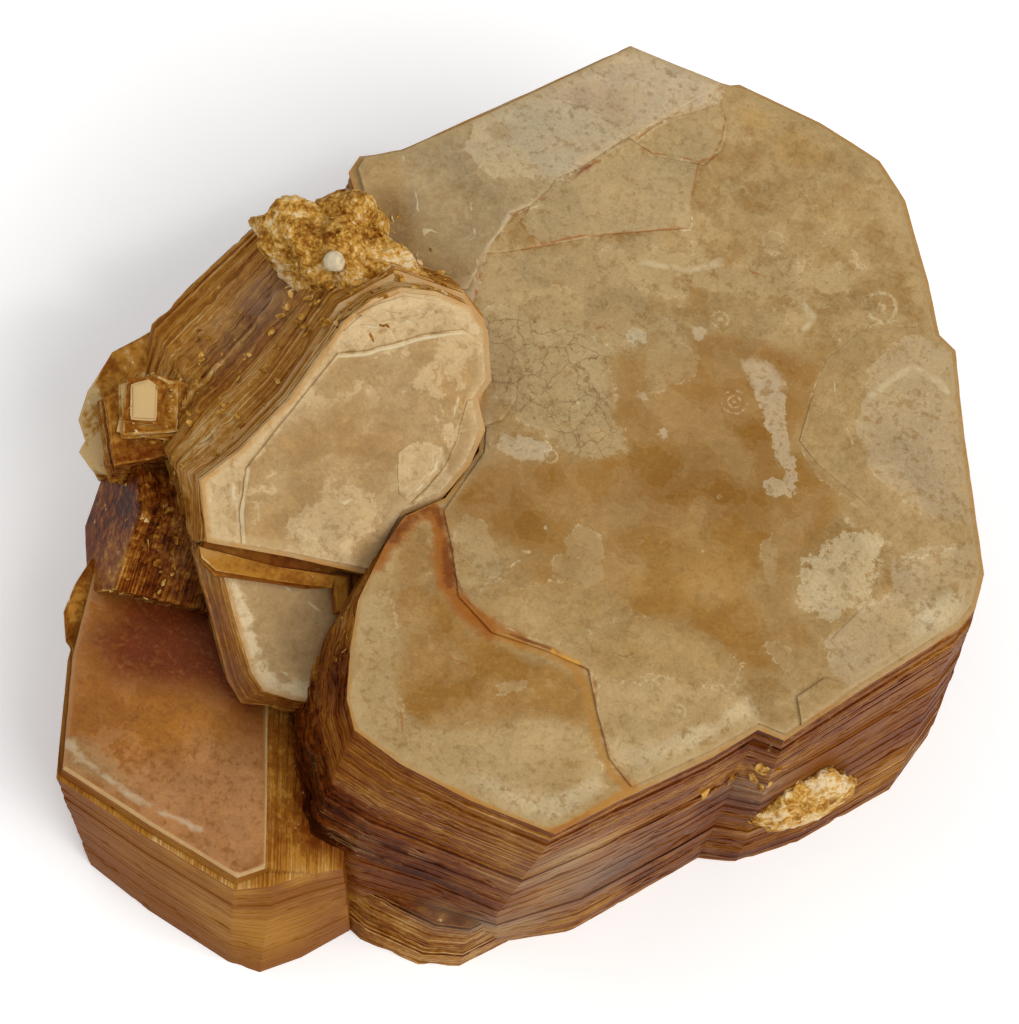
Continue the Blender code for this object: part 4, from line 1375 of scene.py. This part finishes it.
FACE_GLOSS = {"IOR": 1.56, "Metallic": 0.0, "Specular IOR Level": 0.22,
              "Specular Tint": (1.0, 0.9, 0.72, 1.0)}
SIDE_GLOSS = {"IOR": 1.5, "Metallic": 0.0, "Specular IOR Level": 0.04,
              "Specular Tint": (1.0, 0.74, 0.42, 1.0)}
# Height of the relief in metres, and its strength.
FACE_RELIEF, SIDE_RELIEF, CRUMB_RELIEF = (0.0001, 0.6), (0.00018, 0.6), (0.0003, 0.8)
# How places are pushed about: scale, amount and detail.
FACE_BEND, CRUMB_BEND = (0.7, 2.2, 3), (2.0, 0.4, 5)
# The colours of the sides and of the crumbs as their tone grows.
SIDE_RAMP = ((0.12, "side_dark"), (0.32, "side_red"), (0.5, "side"), (0.68, "side_gold"),
             (0.92, "side_pale"))
# The crumbs' last stop, glint, paints highlights on the brightest grains.
CRUMB_RAMP = ((0.2, "side_red"), (0.4, "side"), (0.56, "side_gold"), (0.74, "crust"),
              (0.95, "glint"))
# Where films end in the noise that draws them.
FILM_EDGES = ((0.42, 0.43), (0.5, 0.51), (0.58, 0.59))
# Edges of zones that are harder than this get a thin pale outline.
CRISP = 0.15
# How far above the main head the ring marks' centres are taken.
RING_RISE = 0.25
# Noise patterns: scale, detail, roughness and, for some, distortion. Those of stretched places
# have their scale in the stretch along the book's own axes, which stands first.
FACE_NOISES = {
    "broad": (0.22, 2, 0.5, 0.3), "clouds": (0.45, 4, 0.62), "mottle": (1.9, 3, 0.7),
    "fine": (6.0, 2, 0.6), "film": (0.3, 2, 0.5), "twigs": (1.6, 2, 0.6),
}
SIDE_NOISES = {"patches": (0.4, 3, 0.6, 0.5), "mottle": (2.0, 3, 0.7)}
LEAF_NOISES = {
    "lines": ((0.05, 0.05, 8.0), 3, 0.6), "bands": ((0.06, 0.06, 1.2), 2, 0.6),
    "fine": ((2.0, 2.0, 9.0), 2, 0.7), "streaks": ((0.12, 0.12, 7.0), 2, 0.6),
}
CRUMB_NOISES = {
    "patches": (0.45, 4, 0.65, 0.5), "mottle": (2.2, 4, 0.7), "fine": (6.0, 3, 0.65),
}
DASH_STRETCH = (1.3, 1.3, 9.0)
SHARD_SCALES = (0.26, 0.8)


def face_material(name, place, tones, zones, lines, rings=(), rim="gold", rim_width=0.3,
                  rim_highlight=0.9, filmy=1.0):
    """A cleavage face: films and zones with crisp edges, stained lines and lines of painted light
    and shade, rings, specks, and painted light along its rim.
    """
    ground, haze, light, dark = tones
    recipe = Recipe(name)
    at = recipe.own_place(place)
    bent = recipe.bent(at, *FACE_BEND)
    broad, mottle, fine = (recipe.noise(at, *FACE_NOISES[key])
                           for key in ("broad", "mottle", "fine"))
    clouds, film = (recipe.noise(bent, *FACE_NOISES[key]) for key in ("clouds", "film"))
    slightly_bent = recipe.between(at, bent, 0.25)
    wide, middling = (recipe.shards(slightly_bent, scale) for scale in SHARD_SCALES)
    wander = (clouds - 0.5) * 0.7 + (mottle - 0.5) * 0.5
    films = reduce(Value.__add__, (film.step(*edges) for edges in FILM_EDGES))
    colour = recipe.mix(broad.step(0.38, 0.62), ground, haze)
    colour = recipe.mix(clouds.step(0.52, 0.56) * 0.5, colour, light)
    colour = recipe.mix(clouds.step(0.46, 0.36) * 0.4, colour, dark)
    blur = broad.step(0.5, 0.64) * 0.3
    outlines = []
    calm = 0.0
    for zone, (tint, strength, soft, ragged, _) in zones.items():
        depth = recipe.attribute("zone_" + zone) + wander * (ragged * 4)
        width = blur + soft
        share = depth.step(width * -1.0, width) * (strength - (mottle - 0.5).size() * 1.6)
        colour = recipe.mix(share, colour, tint)
        if soft < CRISP:
            outlines.append(depth.size().step(0.07, 0.02) * strength)
        if zone == "amber":
            calm = share * 0.3
    colour = recipe.mix(films * (0.13 * filmy), colour, light)
    colour = recipe.mix(mottle.step(0.46, 0.36) * 0.3, colour, dark)
    if "veined" in zones:
        colour = veins(recipe, at, recipe.between(at, bent, 0.6), colour)
    if outlines:
        drawn = reduce(Value.most, outlines) * clouds.step(0.46, 0.58)
        colour = recipe.mix(drawn * mottle.step(0.4, 0.56) * 0.6, colour, "white")
    for x, y, radius, count in rings:
        away = recipe.distance(at, (x, y, MAIN_TOP + RING_RISE)) + wander * 0.45
        wave = (away * (2 * math.pi * count / radius)).sine()
        share = wave.step(0.2, 0.9) * away.step(radius * 1.05, radius * 0.9)
        colour = recipe.mix(share * mottle.step(0.4, 0.6) * 0.4, colour, "white")
    specks = recipe.cells(at, 1.3).step(0.08, 0.05) * fine.step(0.5, 0.6)
    colour = recipe.mix(specks * 0.7, colour, "umber")
    tone = ((wide - 0.5) * 0.12 + (middling - 0.5) * 0.1
            + (clouds.step(0.38, 0.62) - 0.5) * 0.06 + (mottle.step(0.36, 0.64) - 0.5) * 0.1
            + (fine.step(0.3, 0.7) - 0.5) * 0.14 + films * (0.02 * filmy))
    colour = recipe.brightness(colour, 0.95 + tone * (1 - calm))
    own_edge = (recipe.attribute("edge") + wander * 0.2).step(0.2, 0.06)
    colour = recipe.mix(own_edge * mottle.step(0.4, 0.6) * 0.6, colour, light)
    # Painted light along the head's rim: a pale band where light catches it, and nearer the edge a
    # band of the rim colour, the lit leaf edges glowing through.
    edge = recipe.attribute("rim") + wander * 0.3
    colour = recipe.mix(edge.step(rim_highlight, rim_width) * (0.2 + mottle * 0.5), colour, light)
    rim_glow = edge.step(rim_width, rim_width * 0.3) * (clouds.step(0.35, 0.65) * 0.6 + 0.2)
    colour = recipe.mix(rim_glow, colour, rim)
    for line, (tint, strength, width, ragged, _) in lines.items():
        near = recipe.attribute("line_" + line) + wander * ragged
        share = near.step(width, width * 0.2) * strength
        colour = recipe.mix(share * (0.3 + mottle * 1.2), colour, tint)
    return recipe.shader(
        FACE_GLOSS, Base_Color=colour, Roughness=0.28 + fine * 0.2 + clouds * 0.16,
        Normal=recipe.bump(mottle, *FACE_RELIEF))


def veins(recipe, at, bent, colour):
    """Branching dark veins and speckles within the veined zone."""
    field = recipe.attribute("zone_veined").step(-0.1, 0.4)
    near = recipe.noise(at, *FACE_NOISES["twigs"]).step(0.48, 0.6)
    lines = recipe.cell_edges(bent, 0.62).step(0.035, 0.008)
    twigs = recipe.cell_edges(bent, 1.5).step(0.05, 0.01) * near
    colour = recipe.mix(field * lines * 0.45, colour, "umber")
    return recipe.mix(field * twigs * 0.55, colour, "umber")


def side_material(name, place, lightness=0.42, contrast=1.0):
    """The broken side of a book: leaf edges from dark red to pale gold, painted sheen in streaks
    and painted glints.
    """
    recipe = Recipe(name)
    at = recipe.own_place(place)
    patches, mottle = (recipe.noise(at, *form) for form in SIDE_NOISES.values())
    lines, bands, fine, streaks = (
        recipe.noise(recipe.own_place(place, stretch), 1.0, *form)
        for stretch, *form in LEAF_NOISES.values())
    tone = {key: recipe.attribute(key) for key in (*SIDE_TONES, "rough")}
    rough = tone["rough"]
    lively = (1 - tone["calm"] * 0.7) * contrast
    light = (lightness + ((lines - 0.5) * (1.9 - rough * 1.7) + (bands - 0.5) * 0.9
                          + (patches - 0.5) * 0.5 + (mottle - 0.5) * (0.3 + rough * 1.2)
                          + (fine - 0.5) * 0.6) * lively
             + tone["pale"] * 0.3 + tone["gold"] * 0.18 - tone["dark"] * 0.21 - tone["red"] * 0.14)
    colour = recipe.ramp(light, SIDE_RAMP)
    colour = recipe.mix(tone["violet"] * (0.2 + bands), colour, "side_violet")
    # Painted sheen: pale streaks along the leaves.
    streaked = streaks.step(0.58, 0.66) * (1 - rough) * patches.step(0.42, 0.58) * lively
    colour = recipe.mix(streaked * 0.45, colour, "side_pale")
    # Painted glints: bright dashes along the leaves and sparks on the rough places, mixed into the
    # colour where the roughness is also lowered.
    dashes = recipe.cells(recipe.own_place(place, DASH_STRETCH), 1.0).step(0.22, 0.12)
    sparks = recipe.cells(at, 2.6).step(0.22, 0.12)
    glints = ((dashes * (1 - rough)).most(sparks * rough) * mottle.step(0.48, 0.56)
              * patches.step(0.5, 0.58) * lively)
    colour = recipe.mix(glints * 0.7, colour, "glint")
    relief = lines * (1 - rough) * 0.35 + mottle * (0.25 + rough * 0.8)
    return recipe.shader(
        SIDE_GLOSS, Base_Color=colour, Roughness=0.36 - glints * 0.2 + fine * 0.1,
        Normal=recipe.bump(relief, *SIDE_RELIEF))


def crumb_material(name, lightness, scale):
    """Crumbled mica: grains from red-brown to bright gold, the brightest with painted glints."""
    recipe = Recipe(name)
    at = recipe.own_place(UPRIGHT)
    grains = recipe.cells(recipe.bent(at, *CRUMB_BEND), scale)
    patches, mottle, fine = (recipe.noise(at, *form) for form in CRUMB_NOISES.values())
    light = (lightness + (patches - 0.5) * 1.5 + (mottle - 0.5) * 0.8 + (fine - 0.5) * 0.6
             - (grains - 0.4) * 0.3)
    return recipe.shader(
        SIDE_GLOSS, Base_Color=recipe.ramp(light, CRUMB_RAMP),
        Roughness=0.5 - mottle.step(0.55, 0.62) * 0.25,
        Normal=recipe.bump(fine * 0.5 - grains * 0.5 + mottle * 0.4, *CRUMB_RELIEF))


def finished(item, materials, smooth=SMOOTH_ANGLE):
    """Gives a piece its materials and smooth shading, hangs it on the body's empty and hides the
    CAD solid.
    """
    for material in materials:
        item.data.materials.append(material)
    select_only(item)
    bpy.ops.object.shade_smooth_by_angle(angle=math.radians(smooth))
    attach(item, BODY)
    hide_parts(CAD_NODE)


# Operators.


def plain_stack(item, top, side=None):
    """Finishes a stack that has no coloured head."""
    tone_fields(item)
    finished(item, [top, side or top])


def headed_stack(item, place, colouring, rim, materials, outline=None):
    """Finishes a stack whose head has colour zones and lines. A thin plate has its own outline."""
    tone_fields(item)
    zone_fields(item, place, *colouring, rim, outline)
    finished(item, materials)


class MICA_OT_main_book(bpy.types.Operator):
    """Stack the largest book and set the thin plates on its head"""

    bl_idname = "mica.main_book"
    bl_label = "Main Book"

    def execute(self, context):
        colouring = (MAIN_ZONES, MAIN_LINES)
        face = face_material("main_face", UPRIGHT, MAIN_TONES, *colouring, RINGS)
        side = side_material("main_side", UPRIGHT, lightness=0.44, contrast=0.7)
        main = leaf_stack("main_book", UPRIGHT, MAIN_LEVELS, seed=11)
        headed_stack(main, UPRIGHT, colouring, MAIN_HEAD, [face, side])
        for seed, (name, (rise, outline)) in enumerate(HEAD_PLATES.items(), 31):
            levels = [(MAIN_TOP + rise, outline), (MAIN_TOP - PLATE_ROOT, outline)]
            plate = leaf_stack(name, UPRIGHT, levels, seed, ledge_scale=0.2, chip_scale=0.5,
                               leaf_scale=1.5)
            headed_stack(plate, UPRIGHT, colouring, MAIN_HEAD, [face, face], outline)
        return {"FINISHED"}


class MICA_OT_base_leaves(bpy.types.Operator):
    """Stack the lowest leaves that stand out at the main book's front corner"""

    bl_idname = "mica.base_leaves"
    bl_label = "Base Leaves"

    def execute(self, context):
        levels = [(BASE_TOP, BASE_HEAD), (0.0, BASE_FOOT)]
        plain_stack(leaf_stack("base_leaves", UPRIGHT, levels, seed=12),
                    side_material("base_side", UPRIGHT))
        return {"FINISHED"}


class MICA_OT_front_book(bpy.types.Operator):
    """Stack the front book: its lower leaves, and the upper ones that end short"""

    bl_idname = "mica.front_book"
    bl_label = "Front Book"

    def execute(self, context):
        colouring = (FRONT_ZONES, FRONT_LINES)
        face = face_material("front_face", UPRIGHT, FRONT_TONES, *colouring, rim="front_grey",
                             rim_width=0.12, rim_highlight=0.3, filmy=0.0)
        side = side_material("front_side", UPRIGHT, lightness=0.48, contrast=0.16)
        strip = side_material("front_strip", book_frame(*FRONT_STRIP), lightness=0.6,
                              contrast=0.45)
        upper = leaf_stack("front_upper", UPRIGHT, [
            (FRONT_TOP, FRONT_HEAD), (FRONT_TOP - 2 * FRONT_DROP, FRONT_HEAD)],
            seed=13, ledge_scale=0.5)
        headed_stack(upper, UPRIGHT, colouring, FRONT_HEAD, [face, side])
        lower = leaf_stack("front_lower", UPRIGHT, [
            (FRONT_TOP - FRONT_DROP, FRONT_STEP_HEAD), (0.0, FRONT_STEP_FOOT)],
            seed=14, ledge_scale=0.3, chip_scale=0.6)
        headed_stack(lower, UPRIGHT, colouring, FRONT_STEP_HEAD, [strip, side])
        for index in range(1, FRONT_TERRACES):
            share = index / FRONT_TERRACES
            right = np.array(FRONT_RIGHT) * (1 - share) + np.array(FRONT_STEP_RIGHT) * share
            outline = [*right, *(right - TERRACE_WIDTH)[::-1]]
            levels = [(FRONT_TOP - FRONT_DROP * share, outline),
                      (FRONT_TOP - FRONT_DROP * 1.5, outline)]
            item = leaf_stack(f"front_terrace_{index}", UPRIGHT, levels, 70 + index,
                              ledge_scale=0.5, chip_scale=0.4, spacing_scale=0.8)
            plain_stack(item, strip)
        return {"FINISHED"}


class MICA_OT_left_book(bpy.types.Operator):
    """Stack the leaning left book, its broken upper leaves and the curved leaves on its head"""

    bl_idname = "mica.left_book"
    bl_label = "Left Book"

    def execute(self, context):
        colouring = (LEFT_ZONES, LEFT_LINES)
        face = face_material("left_face", LEFT_PLACE, LEFT_TONES, *colouring, rim="left_rim",
                             rim_width=0.38, rim_highlight=1.0, filmy=0.4)
        side = side_material("left_side", LEFT_PLACE, lightness=0.64, contrast=0.6)
        strip = side_material("break_strips", LEFT_PLACE, lightness=0.58, contrast=0.6)
        upper = leaf_stack("left_upper", LEFT_PLACE, [
            (0.0, LEFT_HEAD), (-LEFT_STEP - LEFT_ROOT, LEFT_BREAK)], seed=21, leaf_scale=0.7)
        headed_stack(upper, LEFT_PLACE, colouring, LEFT_HEAD, [face, side])
        lower = leaf_stack("left_lower", LEFT_PLACE, [
            (-LEFT_STEP, LEFT_STEP_HEAD), (-LEFT_STEP - LEFT_FAN_DROP, LEFT_FAN),
            (-LEFT_DEPTH, LEFT_STEP_FOOT)], seed=22, leaf_scale=0.6)
        headed_stack(lower, LEFT_PLACE, colouring, LEFT_STEP_HEAD, [face, side])
        for seed, (name, (drop, outline)) in enumerate(LEFT_STRIPS.items(), 51):
            levels = [(-drop, outline), (-LEFT_STEP - STRIP_ROOT, outline)]
            item = leaf_stack(name, LEFT_PLACE, levels, seed, leaf_scale=0.5, spacing_scale=0.7)
            finished(item, [strip, strip])
        for seed, (name, (rise, outline)) in enumerate(LEFT_PLATES.items(), 41):
            levels = [(rise, outline), (-LEFT_ROOT, outline)]
            plate = leaf_stack(name, LEFT_PLACE, levels, seed, ledge_scale=0.6, chip_scale=1.5,
                               spacing_scale=0.8)
            headed_stack(plate, LEFT_PLACE, colouring, LEFT_HEAD, [face, face], outline)
        return {"FINISHED"}


class MICA_OT_small_books(bpy.types.Operator):
    """Stack the rear book and the small books round the left end"""

    bl_idname = "mica.small_books"
    bl_label = "Small Books"

    def execute(self, context):
        rear = hexagon(REAR_CENTRE, REAR_RADIUS, REAR_SQUASH, REAR_TURN)
        levels = [(REAR_TOP, rear), (0.0, scaled(rear, REAR_SPREAD))]
        plain_stack(leaf_stack("rear_book", UPRIGHT, levels, seed=15),
                    side_material("rear_side", UPRIGHT))
        for seed, (name, form) in enumerate(SMALL_BOOKS.items(), 23):
            *placing, depth, spread, lightness, head = form
            place = book_frame(*placing)
            item = leaf_stack(name, place, [(0.0, head), (-depth, scaled(head, spread))], seed,
                              leaf_scale=0.8, spacing_scale=0.7)
            plain_stack(item, side_material(name + "_side", place, lightness))
        place = book_frame(*END_STEP_PLACE)
        side = side_material("end_step_side", place, lightness=0.62)
        # The topmost step's face is a lighter copy of the side material: a painted highlight.
        bright = side_material("end_step_lit_facet", place, lightness=0.95)
        for index, (rise, middle, across, along, degrees) in enumerate(END_STEPS):
            turn = math.radians(degrees)
            spin = np.array([(math.cos(turn), math.sin(turn)), (-math.sin(turn), math.cos(turn))])
            outline = np.array(END_STEP_CORNERS) * (across, along) @ spin + middle
            levels = [(rise, outline), (-END_STEP_DEPTH, outline * END_STEP_SPREAD)]
            item = leaf_stack(f"end_step_{index + 1}", place, levels, 90 + index, ledge_scale=1.6,
                              chip_scale=1.6, leaf_scale=0.5, spacing_scale=0.6)
            plain_stack(item, bright if index == len(END_STEPS) - 1 else side, side)
        return {"FINISHED"}


class MICA_OT_broken_ridge(bpy.types.Operator):
    """Model the crumbling ridge above the left book"""

    bl_idname = "mica.broken_ridge"
    bl_label = "Broken Ridge"

    def execute(self, context):
        crumbs = crumb_material("ridge_crumbs", lightness=0.68, scale=3.6)
        for name in ("broken_ridge", "ridge_shoulder"):
            finished(rough_lump(name), [crumbs])
        pearl = face_material("pearl", UPRIGHT, ("frost", "frost", "white", "cream"), {}, {})
        for name in ("bead", "white_chip"):
            item = rough_lump(name)
            zone_fields(item, UPRIGHT, {}, {}, MAIN_FOOT)
            finished(item, [pearl], BEAD_SMOOTH_ANGLE)
        return {"FINISHED"}


class MICA_OT_grain_crust(bpy.types.Operator):
    """Model the granular crust in the hollow at the right and its grains"""

    bl_idname = "mica.grain_crust"
    bl_label = "Grain Crust"

    def execute(self, context):
        grains = crumb_material("crust_grains", lightness=0.8, scale=2.8)
        finished(rough_lump("grain_crust"), [grains])
        return {"FINISHED"}


class MICA_OT_flakes(bpy.types.Operator):
    """Scatter broken flakes in the clefts and on the ridge"""

    bl_idname = "mica.flakes"
    bl_label = "Flakes"

    def execute(self, context):
        models = [one_flake(f"flake_model_{corners}", corners, seed)
                  for seed, corners in enumerate(FLAKE_CORNERS, 60)]
        item = scatter("flakes", models, FLAKE_ZONES, seed=5)
        finished(item, [crumb_material("flake_mica", lightness=0.66, scale=1.0)])
        return {"FINISHED"}


# The photograph's view: the camera's height and roll in degrees, its distance from the point it
# aims at, and the width of the view there, in metres.
ELEVATION, ROLL = 66.0, 22.0
CAMERA_DISTANCE = 0.35
VIEW_WIDTH = 1024 * 0.000054
SENSOR = 36.0
NEAREST = 0.01
AIM_HEIGHT = 0.012
FLOOR_SIZE = 4.0
FLOOR_FINISH = {
    "Base Color": (0.94, 0.94, 0.94, 1.0), "Roughness": 0.9, "Specular IOR Level": 0.2,
    "Emission Color": (1.0, 1.0, 1.0, 1.0), "Emission Strength": 0.2,
}
SKY_COLOUR, SKY_STRENGTH = (0.95, 0.97, 1.0, 1.0), 0.32
# The lights: how far to the right and up in the view they stand, against their height towards
# the camera, and their size, power and tint.
LIGHTS = {
    "key": (0.6, -0.2, 0.9, 10.0, (1.0, 0.985, 0.96)),
    "spark": (0.9, 0.3, 0.12, 1.6, (1.0, 0.98, 0.95)),
    "fill": (-0.5, 0.8, 0.9, 4.0, (1.0, 0.99, 0.98)),
}
LIGHT_DISTANCE = 1.2


def view_axes():
    """The camera's right, up and backward directions."""
    height, roll = math.radians(ELEVATION), math.radians(ROLL)
    toward = Vector((0, -math.cos(height), math.sin(height)))
    level, upright = Vector((1, 0, 0)), Vector((0, math.sin(height), math.cos(height)))
    right = level * math.cos(roll) + upright * math.sin(roll)
    up = upright * math.cos(roll) - level * math.sin(roll)
    return right, up, toward


def area_light(name, direction, size, power, tint):
    """A square soft light that faces the cluster."""
    light = bpy.data.lights.new(name, "AREA")
    light.shape, light.size, light.energy, light.color = "SQUARE", size, power, tint
    item = in_scene(name, light)
    item.location = Vector((0, 0, AIM_HEIGHT)) + direction.normalized() * LIGHT_DISTANCE
    item.rotation_euler = direction.to_track_quat("Z", "Y").to_euler()


class MICA_OT_stage(bpy.types.Operator):
    """Lay the pale floor, set the soft lights and place the camera"""

    bl_idname = "mica.stage"
    bl_label = "Stage"

    def execute(self, context):
        bpy.ops.object.select_all(action="DESELECT")
        bpy.ops.mesh.primitive_plane_add(size=FLOOR_SIZE, location=(0, 0, 0))
        floor = context.object
        floor.name = floor.data.name = "floor"
        floor.data.materials.append(Recipe("floor_paper").shader(FLOOR_FINISH))
        right, up, toward = view_axes()
        for name, (rightward, upward, *form) in LIGHTS.items():
            area_light(name, toward + right * rightward + up * upward, *form)
        world = bpy.data.worlds.new("studio")
        world.use_nodes = True
        background = world.node_tree.nodes["Background"]
        background.inputs["Color"].default_value = SKY_COLOUR
        background.inputs["Strength"].default_value = SKY_STRENGTH
        context.scene.world = world
        context.scene.view_settings.view_transform = "Standard"
        camera = bpy.data.cameras.new("camera")
        camera.sensor_width = SENSOR
        camera.lens = SENSOR * CAMERA_DISTANCE / VIEW_WIDTH
        camera.clip_start = NEAREST
        item = in_scene("camera", camera)
        aim = Vector((-MIDDLE[0] * MM, -MIDDLE[1] * MM, AIM_HEIGHT))
        turn = Matrix((right, up, toward)).transposed().to_4x4()
        item.matrix_world = Matrix.Translation(aim + toward * CAMERA_DISTANCE) @ turn
        context.scene.camera = item
        return {"FINISHED"}


class MICA_PT_panel(bpy.types.Panel):
    """Lists the sizes, the colours and the pieces"""

    bl_idname = "MICA_PT_panel"
    bl_label = "Mica Cluster"
    bl_space_type = "VIEW_3D"
    bl_region_type = "UI"
    bl_category = "Mica"

    def draw(self, context):
        layout = self.layout
        for group in (context.scene.mica_sizes, context.scene.mica_colours):
            box = layout.box()
            for name in group.bl_rna.properties.keys():
                if name not in ("rna_type", "name"):
                    box.prop(group, name)
        for operator in PIECES:
            layout.operator(operator.bl_idname)


PIECES = (
    MICA_OT_main_book, MICA_OT_base_leaves, MICA_OT_front_book, MICA_OT_left_book,
    MICA_OT_small_books, MICA_OT_broken_ridge, MICA_OT_grain_crust, MICA_OT_flakes, MICA_OT_stage,
)
CLASSES = (MicaSizes, MicaColours, *PIECES, MICA_PT_panel)


def register():
    for item in CLASSES:
        bpy.utils.register_class(item)
    bpy.types.Scene.mica_sizes = bpy.props.PointerProperty(type=MicaSizes)
    bpy.types.Scene.mica_colours = bpy.props.PointerProperty(type=MicaColours)


def unregister():
    del bpy.types.Scene.mica_sizes
    del bpy.types.Scene.mica_colours
    for item in reversed(CLASSES):
        bpy.utils.unregister_class(item)


def main():
    register()
    bpy.ops.mica.main_book()
    bpy.ops.mica.base_leaves()
    bpy.ops.mica.front_book()
    bpy.ops.mica.left_book()
    bpy.ops.mica.small_books()
    bpy.ops.mica.broken_ridge()
    bpy.ops.mica.grain_crust()
    bpy.ops.mica.flakes()
    bpy.ops.mica.stage()
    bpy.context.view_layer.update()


if __name__ == "__main__":
    main()
